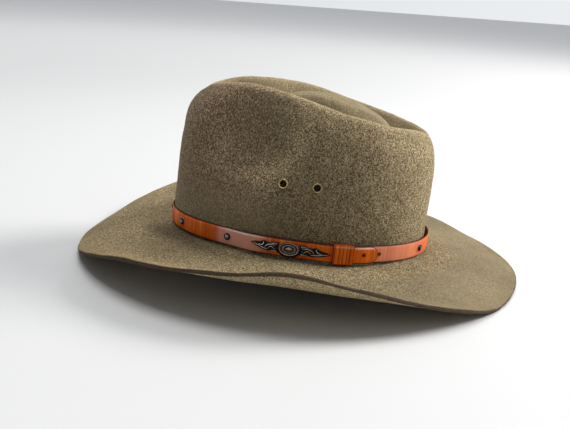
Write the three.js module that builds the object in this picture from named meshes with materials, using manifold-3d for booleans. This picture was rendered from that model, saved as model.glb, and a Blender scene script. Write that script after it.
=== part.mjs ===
// Outback hat: one felt piece of crown and brim, a lapped leather band with its keeper loop, an oval
// cast ornament between two scroll castings, ten band studs and four vent eyelets.
// Millimetres, +Z up, front at -Y and the wearer's left at +X. The hat rests on its brim at Z = 0,
// and the origin is on that level below the middle of the brim.

import * as THREE from 'three';
import { mergeVertices } from 'three/addons/utils/BufferGeometryUtils.js';
import Module from 'manifold-3d';

const wasm = await Module();
wasm.setup();

const { clamp, degToRad, euclideanModulo, lerp, smoothstep } = THREE.MathUtils;
const FULL_TURN = 2 * Math.PI;
const WELD_DISTANCE = 1e-4;

// Driving dimensions of the felt. Heights count from the line along the band's lower edge.
const FELT = {
  thickness: 2.7,
  halfLength: 103.6,        // outside of the crown behind the band
  halfWidth: 84.8,
  centreY: -0.8,
  breakDrop: 1.6,           // the brim starts this far below the band
  breakRadius: 1.4,
  brimHalfLength: 106,      // oval that the brim's reach is measured from
  brimHalfWidth: 87.5,
  edgeCurl: 3.03,           // how late along its reach the brim turns to its edge height
  edgeBulge: 0.4,
  columns: 60,
};

// The band line waves a little round the oval: twice and three times in a turn.
const BAND_LINE = { twice: -1.12, thrice: -0.46 };

// The raised island inside the crown's crease.
const ISLAND = { height: 113.6, centreY: 5, fallAlong: 0.0057, fallAcross: 0.006 };

// The pinch on both sides of the front, a dent with a soft edge.
const PINCH = {
  depth: 10,
  y: -42,
  height: 89,
  spreadY: 35,
  spreadHeight: 33,
  edgePower: 3,             // the higher, the flatter its bottom and the firmer its edge
  endPower: 14,             // the higher, the closer it comes to the rim
  fadeWidth: 25,
};

// How the hat lies: pitch and roll bring three places of the brim down to the surface, and the felt
// there is pressed flat by a millimetre or so.
const REST = { pitch: degToRad(-2.4), roll: degToRad(-1.3), lift: 23.2 };

// Brim, one row for each 15 degrees from the front (0) to the back (180): reach beyond the band,
// height of the edge on the wearer's left and right, and fall of the brim as it leaves the crown.
const BRIM = [
  { angle: 0, reach: 73.8, left: -28.5, right: -28.5, fall: -14.9 },
  { angle: 15, reach: 74.1, left: -25.2, right: -23.5, fall: -10.9 },
  { angle: 30, reach: 75.1, left: -14.4, right: -14.0, fall: -4.8 },
  { angle: 45, reach: 76.2, left: -3.4, right: -2.2, fall: -2.6 },
  { angle: 60, reach: 77.0, left: 2.6, right: 6.1, fall: -6.2 },
  { angle: 75, reach: 77.5, left: 8.3, right: 9.8, fall: -11.7 },
  { angle: 90, reach: 77.8, left: 14.9, right: 10.4, fall: -15.2 },
  { angle: 105, reach: 78.0, left: 9.2, right: 5.5, fall: -15.9 },
  { angle: 120, reach: 77.9, left: -0.2, right: -2.6, fall: -14.6 },
  { angle: 135, reach: 77.5, left: -9.3, right: -6.6, fall: -12.5 },
  { angle: 150, reach: 76.4, left: -16.4, right: -11.3, fall: -10.9 },
  { angle: 165, reach: 74.5, left: -14.4, right: -13.1, fall: -9.8 },
  { angle: 180, reach: 74.7, left: -12.3, right: -12.3, fall: -9.4 },
];

// Crown rim, one row for each 15 degrees of the left half, which the right half mirrors: its place,
// depth of the crease inside it, share of the way in where the island ends, share of the wall's
// inset that is an even lean, and how sharply the rest turns in at the shoulder.
const CROWN = [
  { angle: 0, x: 0.0, y: -81.3, z: 111.4, crease: 13, island: 0.45, lean: 0.15, turn: 11 },
  { angle: 15, x: 9.5, y: -78.4, z: 112.4, crease: 13, island: 0.45, lean: 0.16, turn: 11 },
  { angle: 30, x: 17.5, y: -69.6, z: 114.8, crease: 14, island: 0.42, lean: 0.22, turn: 12 },
  { angle: 45, x: 26.0, y: -55.8, z: 117.1, crease: 15, island: 0.38, lean: 0.50, turn: 14 },
  { angle: 60, x: 36.8, y: -37.8, z: 117.7, crease: 15, island: 0.34, lean: 0.60, turn: 15 },
  { angle: 75, x: 47.8, y: -16.9, z: 115.5, crease: 15, island: 0.31, lean: 0.56, turn: 16 },
  { angle: 90, x: 56.5, y: 5.6, z: 111.1, crease: 15, island: 0.30, lean: 0.47, turn: 15 },
  { angle: 105, x: 60.0, y: 28.1, z: 105.7, crease: 14, island: 0.32, lean: 0.42, turn: 13 },
  { angle: 120, x: 53.8, y: 49.0, z: 100.9, crease: 12, island: 0.40, lean: 0.35, turn: 11 },
  { angle: 135, x: 37.5, y: 67.0, z: 97.9, crease: 10, island: 0.50, lean: 0.25, turn: 10 },
  { angle: 150, x: 21.0, y: 80.8, z: 95.3, crease: 8, island: 0.58, lean: 0.15, turn: 10 },
  { angle: 165, x: 9.6, y: 89.5, z: 92.6, crease: 8, island: 0.60, lean: 0.08, turn: 10 },
  { angle: 180, x: 0.0, y: 92.4, z: 91.5, crease: 8, island: 0.60, lean: 0.08, turn: 10 },
];

// Rings of the felt's outside, from the crown's middle to the edge. Only the rings marked "inside"
// are repeated on its inner and lower face, where the shape is plainer.
const TOP_RINGS = [
  { share: 0.16 }, { share: 0.32, inside: true }, { share: 0.46 }, { share: 0.59, inside: true },
  { share: 0.71 }, { share: 0.8, inside: true }, { share: 0.89 }, { share: 1, inside: true },
];
const WALL_RINGS = [
  { share: 0.955 }, { share: 0.895, inside: true }, { share: 0.82 }, { share: 0.72, inside: true },
  { share: 0.58, inside: true }, { share: 0.5, inside: true }, { share: 0.42, inside: true }, { share: 0.24 },
  { share: 0.08, inside: true },
];
const BREAK_RINGS = [{ share: 0, inside: true }, { share: 0.5, inside: true }, { share: 1, inside: true }];
const BRIM_RINGS = [
  { share: 0.14 }, { share: 0.3, inside: true }, { share: 0.47 }, { share: 0.63, inside: true },
  { share: 0.78 }, { share: 0.89, inside: true }, { share: 0.96, inside: true }, { share: 1, inside: true },
];

// The leather band. Places along it are lengths from the front middle towards the wearer's left,
// measured on its inner face.
const BAND = {
  halfLength: 104.9,
  halfWidth: 85.2,
  width: 13.3,
  thickness: 1.4,
  chamfer: 0.35,
  gap: 0.3,
  innerEnd: 116,            // hidden end under the lap
  tipEnd: 212.5,            // rounded end that shows
  rampStart: 98,            // the outer layer climbs over the inner end here
  rampEnd: 115,
  lapClear: 1,              // from here beyond the tip there is one layer again
  step: 6,
  tipAngles: [0, 25, 45, 62, 76, 86],
  loopDivisions: 720,
};
const PUNCHED = { radius: 1.1, tipAt: 200.2, underAt: 214.4, sides: 10 };

// The keeper loop round both layers, and the rise that makes room for it.
const KEEPER = {
  start: 176.4,
  length: 15.2,
  wall: 0.8,
  edgeWall: 0.5,
  edgeGap: 0.2,
  chamfer: 0.35,
  innerChamfer: 0.1,
  rise: 1.1,
  riseReach: 4,             // the rise is full this far before and after the loop
  ramp: 12,
  stations: 4,
  cutBeyond: 1,             // how far the loop's bore is cut past both its ends
};

// Metal fittings. Profiles run from the axis below to the axis on top.
const STUD = { radius: 2.7, height: 1.5, sides: 10, first: 47.6, second: 97.1, last: 261.3, hidden: 7 };
const STUD_PROFILE = [
  { radiusShare: 0, heightShare: 0 },
  { radiusShare: 1, heightShare: 0 },
  { radiusShare: 1, heightShare: 0.1 },
  { radiusShare: 0.78, heightShare: 0.62 },
  { radiusShare: 0.42, heightShare: 0.92 },
  { radiusShare: 0, heightShare: 1 },
];
const CONCHO = {
  at: 145.0,
  halfLength: 7.7,
  halfHeight: 5.0,
  sides: 24,
  diamond: 2.3,
  diamondFoot: 1,
  diamondHeight: 1.1,
};
const CONCHO_PROFILE = [
  { radiusShare: 0, height: 0 },
  { radiusShare: 0.95, height: 0 },
  { radiusShare: 1, height: 0.3 },
  { radiusShare: 1, height: 0.8 },
  { radiusShare: 0.93, height: 1.3 },
  { radiusShare: 0.84, height: 1.3 },
  { radiusShare: 0.77, height: 0.9 },
  { radiusShare: 0.68, height: 0.9 },
  { radiusShare: 0.62, height: 1.25 },
  { radiusShare: 0.5, height: 1.3 },
  { radiusShare: 0.42, height: 1.0 },
  { radiusShare: 0, height: 1.15 },
];
const SCROLL = { plate: 0.7, chamfer: 0.15, ridgeSteps: 6, ridgeSides: 5 };
const SCROLLS = [
  { name: 'scroll_front', start: 137, direction: -1, reach: 0.95, tipLift: 1.2 },
  { name: 'scroll_rear', start: 153, direction: 1, reach: 1.06, tipLift: -0.8 },
];
const EYELET = {
  bore: 2.5,
  barrel: 2.75,
  flange: 3.9,
  innerFlange: 3.5,
  innerGap: 1.2,
  innerLip: 0.6,
  mouthHeight: 0.42,        // the rolled flange: its height at the bore, at the crest and at the rim
  crestHeight: 0.72,
  crestInset: 0.4,
  rimHeight: 0.48,
  rimInset: 0.1,
  hole: 3.05,
  sides: 12,
};
const EYELETS = [
  { name: 'eyelet_left_front', angle: 81.9, height: 0.465 },
  { name: 'eyelet_left_rear', angle: 95.9, height: 0.489 },
  { name: 'eyelet_right_front', angle: -81.9, height: 0.465 },
  { name: 'eyelet_right_rear', angle: -95.9, height: 0.489 },
];

const MATERIALS = {
  felt: new THREE.MeshStandardMaterial({ color: 0x7a6b50, roughness: 0.95, metalness: 0 }),
  leather: new THREE.MeshStandardMaterial({ color: 0xb0582a, roughness: 0.35, metalness: 0 }),
  nickel: new THREE.MeshStandardMaterial({ color: 0x6b6560, roughness: 0.35, metalness: 1 }),
  brass: new THREE.MeshStandardMaterial({ color: 0x9a8256, roughness: 0.4, metalness: 1 }),
};

// Geometry helpers

/** Geometry from points and triangles, with its faces turned outwards. */
function closedGeometry(points, triangles) {
  let volume = 0;
  for (const [a, b, c] of triangles) {
    volume += points[a].dot(new THREE.Vector3().crossVectors(points[b], points[c]));
  }
  const faces = volume < 0 ? triangles.map(([a, b, c]) => [a, c, b]) : triangles;
  const geometry = new THREE.BufferGeometry().setFromPoints(points);
  geometry.setIndex(faces.flat());
  return geometry;
}

/** The same geometry with shared vertices joined and faces without area dropped. */
function welded(geometry) {
  const bare = geometry.clone();
  bare.deleteAttribute('normal');
  bare.deleteAttribute('uv');
  const merged = mergeVertices(bare, WELD_DISTANCE);
  const place = merged.getAttribute('position');
  const points = Array.from({ length: place.count }, (_, i) => (
    new THREE.Vector3().fromBufferAttribute(place, i)));
  const triangles = [];
  for (let i = 0; i < merged.index.count; i += 3) {
    const [a, b, c] = [0, 1, 2].map((corner) => merged.index.getX(i + corner));
    if (a !== b && b !== c && c !== a) triangles.push([a, b, c]);
  }
  return closedGeometry(points, triangles);
}

function toManifold(geometry) {
  const vertProperties = Float32Array.from(geometry.getAttribute('position').array);
  const triVerts = Uint32Array.from(geometry.index.array);
  return new wasm.Manifold(new wasm.Mesh({ numProp: 3, vertProperties, triVerts }));
}

function fromManifold(solid) {
  const mesh = solid.getMesh();
  const geometry = new THREE.BufferGeometry();
  geometry.setAttribute('position', new THREE.BufferAttribute(mesh.vertProperties, mesh.numProp));
  geometry.setIndex(new THREE.BufferAttribute(mesh.triVerts, 1));
  return geometry;
}

/** Joins closed geometries into one. */
function joined(geometries) {
  return fromManifold(geometries.map(toManifold).reduce((whole, piece) => whole.add(piece)));
}

/** Cuts closed geometries out of a body. */
function cut(body, cutters) {
  const solids = cutters.map(toManifold);
  return fromManifold(solids.reduce((left, cutter) => left.subtract(cutter), toManifold(body)));
}

/** Closed skin through rings of points. A ring of one point is a pole, and a first or last ring of
 *  more points gets a flat cap. */
function skin(rings) {
  const points = rings.flat();
  const first = [];
  rings.reduce((count, ring, i) => {
    first[i] = count;
    return count + ring.length;
  }, 0);
  const at = (ring, i) => first[ring] + (i % rings[ring].length);
  const sides = Math.max(...rings.map((ring) => ring.length));
  const triangles = [];
  for (let ring = 0; ring + 1 < rings.length; ring += 1) {
    for (let i = 0; i < sides; i += 1) {
      if (rings[ring + 1].length > 1) triangles.push([at(ring, i), at(ring + 1, i), at(ring + 1, i + 1)]);
      if (rings[ring].length > 1) triangles.push([at(ring, i), at(ring + 1, i + 1), at(ring, i + 1)]);
    }
  }
  const last = rings.length - 1;
  for (let i = 1; i + 1 < sides; i += 1) {
    if (rings[0].length > 1) triangles.push([at(0, 0), at(0, i), at(0, i + 1)]);
    if (rings[last].length > 1) triangles.push([at(last, 0), at(last, i + 1), at(last, i)]);
  }
  return closedGeometry(points, triangles);
}

function mesh(name, geometry, material) {
  const piece = new THREE.Mesh(geometry, material);
  piece.name = name;
  return piece;
}

// Felt: every surface point comes from an angle round the head and a share of the way along

/** Value of a table's column at an angle, smooth all the way round. The right half reads its own
 *  column where one is given, and an odd column changes sign there. */
function around(table, column, angle, { right = column, odd = false } = {}) {
  const half = table.length - 1;
  const knot = (i) => {
    const k = euclideanModulo(i, 2 * half);
    return k <= half ? table[k][column] : (odd ? -1 : 1) * table[2 * half - k][right];
  };
  const place = (angle / FULL_TURN) * 2 * half;
  const i = Math.floor(place);
  const f = place - i;
  const [p0, p1, p2, p3] = [i - 1, i, i + 1, i + 2].map(knot);
  return 0.5 * (2 * p1 + (p2 - p0) * f + (2 * p0 - 5 * p1 + 4 * p2 - p3) * f ** 2
    + (3 * p1 - p0 - 3 * p2 + p3) * f ** 3);
}

/** Height of the band's lower edge at an angle. */
const bandLine = (angle) => BAND_LINE.twice * Math.cos(2 * angle) + BAND_LINE.thrice * Math.cos(3 * angle);

/** Point on an oval at an angle from the front, and the oval's outward direction there. */
function onOval(angle, halfWidth, halfLength, centreY = 0) {
  return {
    point: new THREE.Vector3(halfWidth * Math.sin(angle), centreY - halfLength * Math.cos(angle), 0),
    outward: new THREE.Vector3(Math.sin(angle) / halfWidth, -Math.cos(angle) / halfLength, 0).normalize(),
  };
}

const crownFoot = (angle) => onOval(angle, FELT.halfWidth, FELT.halfLength, FELT.centreY);

function crownRim(angle) {
  return new THREE.Vector3(
    around(CROWN, 'x', angle, { odd: true }), around(CROWN, 'y', angle), around(CROWN, 'z', angle),
  );
}

/** Crown top: the island in the middle, the crease round it and the rim at share 1. */
function topPoint(angle, share) {
  const rim = crownRim(angle);
  const x = rim.x * share;
  const y = lerp(ISLAND.centreY, rim.y, share);
  const island = ISLAND.height - ISLAND.fallAlong * (y - ISLAND.centreY) ** 2 - ISLAND.fallAcross * x ** 2;
  const start = around(CROWN, 'island', angle);
  const way = clamp((share - start) / (1 - start), 0, 1);
  const crease = around(CROWN, 'crease', angle) * Math.sin(Math.PI * way) ** 2;
  return new THREE.Vector3(x, y, lerp(island, rim.z, smoothstep(way, 0, 1)) - crease);
}

/** Crown wall from the band line (share 0) to the rim (share 1), with the pinch pressed in. */
function wallPoint(angle, share) {
  const foot = crownFoot(angle).point.setZ(bandLine(angle));
  const rim = crownRim(angle);
  const lean = around(CROWN, 'lean', angle);
  const inset = lean * share ** 2 + (1 - lean) * share ** around(CROWN, 'turn', angle);
  const point = foot.clone().lerp(rim, inset).setZ(lerp(foot.z, rim.z, share));
  const beside = (point.y - PINCH.y) / PINCH.spreadY;
  const above = (point.z - PINCH.height) / PINCH.spreadHeight;
  const dent = Math.exp(-(Math.hypot(beside, above) ** PINCH.edgePower));
  const near = dent * (1 - share ** PINCH.endPower);
  const side = clamp(point.x / PINCH.fadeWidth, -1, 1);
  point.x -= PINCH.depth * near * side;
  return point;
}

/** The tight turn from the wall into the brim. */
function breakPoint(angle, share) {
  const { point, outward } = crownFoot(angle);
  const turn = share * Math.PI / 2;
  const top = bandLine(angle) - FELT.breakDrop + FELT.breakRadius;
  point.addScaledVector(outward, FELT.breakRadius * (1 - Math.cos(turn)));
  return point.setZ(top - FELT.breakRadius * Math.sin(turn));
}

/** Brim from the break (share 0) to its edge (share 1). */
function brimPoint(angle, share) {
  const start = breakPoint(angle, 1);
  const { point: edge, outward } = onOval(angle, FELT.brimHalfWidth, FELT.brimHalfLength);
  edge.addScaledVector(outward, around(BRIM, 'reach', angle));
  const fall = around(BRIM, 'fall', angle);
  const height = around(BRIM, 'left', angle, { right: 'right' });
  const drop = FELT.breakDrop * (1 - share);
  const z = bandLine(angle) + fall * share + (height - fall) * share ** FELT.edgeCurl - drop;
  return start.lerp(edge, share).setZ(z);
}

/** Where the hat lies when it rests. */
function restMatrix() {
  const turn = new THREE.Euler(REST.pitch, REST.roll, 0, 'YXZ');
  return new THREE.Matrix4().makeRotationFromEuler(turn).setPosition(0, 0, REST.lift);
}

/** Surface point and outward direction of the felt, by small steps along and round it. */
function surfaceAt(pointAt, angle, share) {
  const step = 0.004;
  const along = pointAt(angle, share - step).sub(pointAt(angle, share + step));
  const round = pointAt(angle + step, share).sub(pointAt(angle - step, share));
  return { point: pointAt(angle, share), outward: along.cross(round).normalize() };
}

/** Crown and brim as one hollow shell, pressed flat where it rests. */
function feltShell() {
  const specs = [
    ...TOP_RINGS.map((ring) => ({ ...ring, pointAt: topPoint })),
    ...WALL_RINGS.map((ring) => ({ ...ring, pointAt: wallPoint })),
    ...BREAK_RINGS.map((ring) => ({ ...ring, pointAt: breakPoint })),
    ...BRIM_RINGS.map((ring) => ({ ...ring, pointAt: brimPoint })),
  ];
  const angles = Array.from({ length: FELT.columns }, (_, i) => (i / FELT.columns) * FULL_TURN);
  const outer = specs.map(({ pointAt, share }) => angles.map((angle) => pointAt(angle, share)));
  const crownTop = topPoint(0, 0);
  const inner = outer.map((ring, row) => ring.map((point, i) => {
    const inward = row === 0 ? crownTop : outer[row - 1][i];
    const outward = row + 1 < outer.length ? outer[row + 1][i] : point;
    const along = outward.clone().sub(inward);
    const round = ring[(i + 1) % ring.length].clone().sub(ring[(i + ring.length - 1) % ring.length]);
    return point.clone().addScaledVector(along.cross(round).normalize(), -FELT.thickness);
  }));
  const edge = outer.at(-1).map((point, i) => {
    const bulge = point.clone().sub(outer.at(-2)[i]).setLength(FELT.edgeBulge);
    return point.clone().add(inner.at(-1)[i]).multiplyScalar(0.5).add(bulge);
  });

  const rest = restMatrix();
  const settle = (point) => {
    point.applyMatrix4(rest);
    const pressed = Math.max(0, -point.z);
    point.z += pressed;
    return pressed;
  };
  inner.forEach((ring, row) => ring.forEach((point, i) => {
    const pressed = settle(point);
    outer[row][i].applyMatrix4(rest).z += pressed;
  }));
  edge.forEach(settle);
  const innerTop = crownTop.clone().setZ(crownTop.z - FELT.thickness).applyMatrix4(rest);
  const innerRings = inner.filter((_, row) => specs[row].inside).reverse();
  return skin([[crownTop.applyMatrix4(rest)], ...outer, edge, ...innerRings, [innerTop]]);
}

/** Place of an eyelet on the crown, with its axis outwards as local Y. */
function eyeletMatrix({ angle, height }) {
  const { point, outward } = surfaceAt(wallPoint, degToRad(angle), height);
  const turn = new THREE.Quaternion().setFromUnitVectors(new THREE.Vector3(0, 1, 0), outward);
  return new THREE.Matrix4().compose(point, turn, new THREE.Vector3(1, 1, 1));
}

function makeFelt() {
  const length = 4 * FELT.thickness;
  const drill = welded(new THREE.CylinderGeometry(EYELET.hole, EYELET.hole, length, EYELET.sides));
  const holes = EYELETS.map((eyelet) => (
    drill.clone().applyMatrix4(eyeletMatrix(eyelet)).applyMatrix4(restMatrix())));
  return mesh('felt_body', cut(feltShell(), holes), MATERIALS.felt);
}

// Band: pieces on it are drawn flat and wrapped round the oval

const bandLoop = new THREE.EllipseCurve(0, 0, BAND.halfWidth, BAND.halfLength, -Math.PI / 2, 1.5 * Math.PI);
bandLoop.arcLengthDivisions = BAND.loopDivisions;
const BAND_LENGTH = bandLoop.getLength();

/** Angle from the front at a length along the band. */
function bandAngle(along) {
  return bandLoop.getUtoTmapping(euclideanModulo(along / BAND_LENGTH, 1)) * FULL_TURN;
}

/** Directions at a length along the band: along it, up and outward. */
function bandFrame(along) {
  const angle = bandAngle(along);
  const { point, outward } = onOval(angle, BAND.halfWidth, BAND.halfLength);
  const up = new THREE.Vector3(0, 0, 1);
  return { point: point.setZ(bandLine(angle)), outward, up, forward: up.clone().cross(outward) };
}

/** Point at a length along the band, a height above its lower edge and a distance out of its inner face. */
function onBand(along, height, out) {
  const { point, outward, up } = bandFrame(along);
  return point.addScaledVector(up, height).addScaledVector(outward, out);
}

/** How far the keeper's back wall pushes both layers out. */
function keeperRise(along) {
  const start = KEEPER.start - KEEPER.riseReach;
  const end = KEEPER.start + KEEPER.length + KEEPER.riseReach;
  const up = smoothstep(along, start - KEEPER.ramp, start);
  const down = smoothstep(along, end, end + KEEPER.ramp);
  return KEEPER.rise * up * (1 - down);
}

/** Inner face of the strap's top layer: on the crown, or lifted over the hidden end. */
function topLayer(along) {
  const place = euclideanModulo(along, BAND_LENGTH);
  const lapped = place < BAND.tipEnd + BAND.lapClear ? smoothstep(place, BAND.rampStart, BAND.rampEnd) : 0;
  return lapped * (BAND.thickness + BAND.gap) + keeperRise(place);
}

/** Section of a flat strip with chamfered edges, in the order that keeps a skin's faces outwards. */
function stripSection(along, { low, high, inside, outside, chamfer }) {
  const c = Math.min(chamfer, (high - low) / 4);
  return [
    [outside, low + c], [outside, high - c], [outside - c, high], [inside + c, high],
    [inside, high - c], [inside, low + c], [inside + c, low], [outside - c, low],
  ].map(([out, height]) => onBand(along, height, out));
}

/** The whole strap: hidden end, once round the crown, over itself and out to the rounded tip. */
function makeStrap() {
  const lapEnd = BAND_LENGTH + BAND.tipEnd;
  const middle = BAND.width / 2;
  const body = lapEnd - middle - BAND.innerEnd;
  const steps = Math.ceil(body / BAND.step);
  const stations = Array.from({ length: steps }, (_, i) => (
    { along: BAND.innerEnd + (body * i) / steps, half: middle }));
  for (const degrees of BAND.tipAngles) {
    const turn = degToRad(degrees);
    stations.push({ along: lapEnd - middle + middle * Math.sin(turn), half: middle * Math.cos(turn) });
  }
  const sections = stations.map(({ along, half }) => {
    const inside = along < BAND_LENGTH ? keeperRise(along) : topLayer(along);
    return stripSection(along, {
      low: middle - half,
      high: middle + half,
      inside,
      outside: inside + BAND.thickness,
      chamfer: BAND.chamfer,
    });
  });
  const punch = (along, inside) => {
    const { point, outward, up } = bandFrame(along);
    const { radius, sides } = PUNCHED;
    const drill = welded(new THREE.CylinderGeometry(radius, radius, BAND.thickness + BAND.gap, sides));
    const turn = new THREE.Quaternion().setFromUnitVectors(new THREE.Vector3(0, 1, 0), outward);
    point.addScaledVector(up, middle).addScaledVector(outward, inside + BAND.thickness / 2);
    return drill.applyMatrix4(new THREE.Matrix4().compose(point, turn, new THREE.Vector3(1, 1, 1)));
  };
  const holes = [
    punch(PUNCHED.tipAt, topLayer(PUNCHED.tipAt)),
    punch(PUNCHED.underAt, keeperRise(PUNCHED.underAt)),
  ];
  return mesh('band_strap', cut(skin(sections), holes), MATERIALS.leather);
}

/** The keeper: a flat loop with the two strap layers inside it. */
function makeKeeper() {
  const inner = {
    low: -KEEPER.edgeGap, high: BAND.width + KEEPER.edgeGap, inside: KEEPER.wall,
    outside: KEEPER.rise + 2 * BAND.thickness + 2 * BAND.gap, chamfer: KEEPER.innerChamfer,
  };
  const outer = {
    low: inner.low - KEEPER.edgeWall, high: inner.high + KEEPER.edgeWall, inside: 0,
    outside: inner.outside + KEEPER.wall, chamfer: KEEPER.chamfer,
  };
  const sweep = (section, beyond) => skin(Array.from({ length: KEEPER.stations }, (_, i) => {
    const share = i / (KEEPER.stations - 1);
    return stripSection(lerp(KEEPER.start - beyond, KEEPER.start + KEEPER.length + beyond, share), section);
  }));
  return mesh('keeper_loop', cut(sweep(outer, 0), [sweep(inner, KEEPER.cutBeyond)]), MATERIALS.leather);
}

/** Group that stands on the band's outer face: local X along the band, Y up and Z outward. */
function seatOnBand(along, piece, height = BAND.width / 2) {
  const { point, outward, up, forward } = bandFrame(along);
  const seat = new THREE.Group();
  const out = topLayer(along) + BAND.thickness + BAND.gap;
  seat.position.copy(point.addScaledVector(up, height).addScaledVector(outward, out));
  seat.quaternion.setFromRotationMatrix(new THREE.Matrix4().makeBasis(forward, up, outward));
  seat.add(piece);
  return seat;
}

/** Solid of revolution from pairs of radius and height, with its axis along local Z. */
function turned(profile, sides) {
  const outline = profile.map(([radius, height]) => new THREE.Vector2(radius, height));
  return welded(new THREE.LatheGeometry(outline, sides).rotateX(Math.PI / 2));
}

function makeStuds() {
  const { radius, height, sides, first, second, last, hidden } = STUD;
  const rest = BAND_LENGTH - last + first;
  const places = [first, second, last];
  for (let i = 1; i <= hidden; i += 1) places.push(last + (rest * i) / (hidden + 1));
  const profile = STUD_PROFILE.map((row) => [radius * row.radiusShare, height * row.heightShare]);
  return places.map((along, i) => {
    const name = `stud_${String(i + 1).padStart(2, '0')}`;
    return seatOnBand(along, mesh(name, turned(profile, sides), MATERIALS.nickel));
  });
}

/** Oval ornament: a raised rim, a second ring inside it and a small diamond in the middle. */
function makeConcho() {
  const profile = CONCHO_PROFILE.map(({ radiusShare, height }) => [radiusShare, height]);
  const oval = turned(profile, CONCHO.sides).scale(CONCHO.halfLength, CONCHO.halfHeight, 1);
  const point = new THREE.ConeGeometry(CONCHO.diamond, CONCHO.diamondHeight, 4).rotateX(Math.PI / 2);
  const diamond = welded(point.translate(0, 0, CONCHO.diamondFoot + CONCHO.diamondHeight / 2));
  return seatOnBand(CONCHO.at, mesh('concho_oval', joined([oval, diamond]), MATERIALS.nickel));
}

// Scroll casting, drawn with u from the oval ornament outwards along the band and v across it
const SCROLL_OUTLINE = [
  { u: 0, low: -3.6, high: 4.3 },
  { u: 3.5, low: -3.9, high: 3.5 },
  { u: 8.4, low: -3.7, high: 2.8 },
  { u: 10.9, low: -3.3, high: 3.6 },
  { u: 13.4, low: -2.8, high: 2.1 },
  { u: 17.6, low: -1.6, high: 1.3 },
  { u: 21, low: -0.2, high: 0.2 },
];
const SCROLL_RIDGES = [
  {
    name: 'blade',
    radii: [0.3, 0.95, 0.9, 0.5],
    line: [[20.2, 0], [16, -0.5], [11.5, -1.7], [7.6, -2.2]],
  },
  {
    name: 'leaf',
    radii: [0.35, 0.75, 0.6, 0.3],
    line: [[14.6, -0.2], [12.2, 0.1], [10.9, 1.4], [10.8, 2.7]],
  },
  {
    name: 'curl',
    radii: [0.4, 0.75, 0.75, 0.4],
    line: [[9.6, -0.9], [7.4, 1.3], [4.2, 1.9], [1.9, 1.2]],
  },
  {
    name: 'inner',
    radii: [0.35, 0.6, 0.6, 0.35],
    line: [[7.2, -1.2], [5.4, 0.2], [3.6, -0.3], [2.4, -1.7]],
  },
];
const SCROLL_BALL = { u: 1.5, v: -0.5, rise: 0.9, radius: 0.8, sides: 8, rows: 6 };

/** Tapering rib along a line drawn on the casting's plate. */
function ridge({ radii, line }) {
  const path = new THREE.CatmullRomCurve3(line.map(([u, v]) => new THREE.Vector3(u, v, SCROLL.plate)));
  const { ridgeSteps: steps, ridgeSides: sides } = SCROLL;
  const rings = Array.from({ length: steps + 1 }, (_, i) => {
    const share = i / steps;
    const place = share * (radii.length - 1);
    const before = Math.min(Math.floor(place), radii.length - 2);
    const radius = lerp(radii[before], radii[before + 1], place - before);
    const across = path.getTangent(share).cross(new THREE.Vector3(0, 0, 1)).multiplyScalar(radius);
    return Array.from({ length: sides }, (_, side) => {
      const turn = (side / sides) * FULL_TURN;
      const point = path.getPoint(share).addScaledVector(across, Math.cos(turn));
      return point.setZ(Math.max(point.z + radius * Math.sin(turn), SCROLL.chamfer));
    });
  });
  return skin(rings);
}

/** One scroll casting, wrapped round the band away from the oval ornament, its tip bent up or down. */
function makeScroll({ name, start, direction, reach, tipLift }) {
  const length = SCROLL_OUTLINE.at(-1).u;
  const alongAt = (u) => start + direction * reach * u;
  const middleAt = (u) => BAND.width / 2 + tipLift * (u / length) ** 2;
  const back = (along) => topLayer(along) + BAND.thickness + BAND.gap;
  const wrapped = (flat) => {
    const place = flat.getAttribute('position');
    for (let i = 0; i < place.count; i += 1) {
      const along = alongAt(place.getX(i));
      const height = middleAt(place.getX(i)) + place.getY(i);
      place.setXYZ(i, ...onBand(along, height, back(along) + place.getZ(i)).toArray());
    }
    return welded(flat);
  };
  const plate = skin(SCROLL_OUTLINE.map((row) => {
    const along = alongAt(row.u);
    const inside = back(along);
    const heights = { low: middleAt(row.u) + row.low, high: middleAt(row.u) + row.high };
    const outside = inside + SCROLL.plate;
    return stripSection(along, { ...heights, inside, outside, chamfer: SCROLL.chamfer });
  }));
  const { u, v, rise, radius, sides, rows } = SCROLL_BALL;
  const ball = new THREE.SphereGeometry(radius, sides, rows).translate(u, v, rise);
  const relief = [ball, ...SCROLL_RIDGES.map(ridge)].map(wrapped);
  return mesh(name, joined([plate, ...relief]), MATERIALS.nickel);
}

/** Spool-shaped eyelet with its bore, set through the crown wall. */
function makeEyelet(eyelet) {
  const { bore, barrel, flange, innerFlange, innerLip, crestInset, rimInset, sides } = EYELET;
  const back = -FELT.thickness - EYELET.innerGap;
  const mouth = BAND.gap + EYELET.mouthHeight;
  const profile = [
    [bore, mouth], [bore, back - EYELET.mouthHeight], [innerFlange, back - innerLip], [innerFlange, back],
    [barrel, back], [barrel, BAND.gap], [flange, BAND.gap], [flange - rimInset, BAND.gap + EYELET.rimHeight],
    [bore + crestInset, BAND.gap + EYELET.crestHeight], [bore, mouth],
  ];
  const outline = profile.map(([radius, height]) => new THREE.Vector2(radius, height));
  const piece = mesh(eyelet.name, welded(new THREE.LatheGeometry(outline, sides)), MATERIALS.brass);
  const seat = new THREE.Group();
  seat.applyMatrix4(eyeletMatrix(eyelet));
  seat.add(piece);
  return seat;
}

/** The fittings keep the crown's own frame, and the group that holds them lies as the hat does. */
function makeFittings() {
  const fittings = new THREE.Group();
  fittings.add(makeStrap(), makeKeeper(), makeConcho(), ...makeStuds());
  fittings.add(...SCROLLS.map(makeScroll), ...EYELETS.map(makeEyelet));
  fittings.applyMatrix4(restMatrix());
  return fittings;
}

function makeHat() {
  const felt = makeFelt();
  felt.geometry.computeBoundingBox();
  const middle = felt.geometry.boundingBox.getCenter(new THREE.Vector3());
  const hat = new THREE.Group();
  hat.position.set(-middle.x, -middle.y, 0);
  hat.add(felt, makeFittings());
  return hat;
}

export default makeHat();
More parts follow.
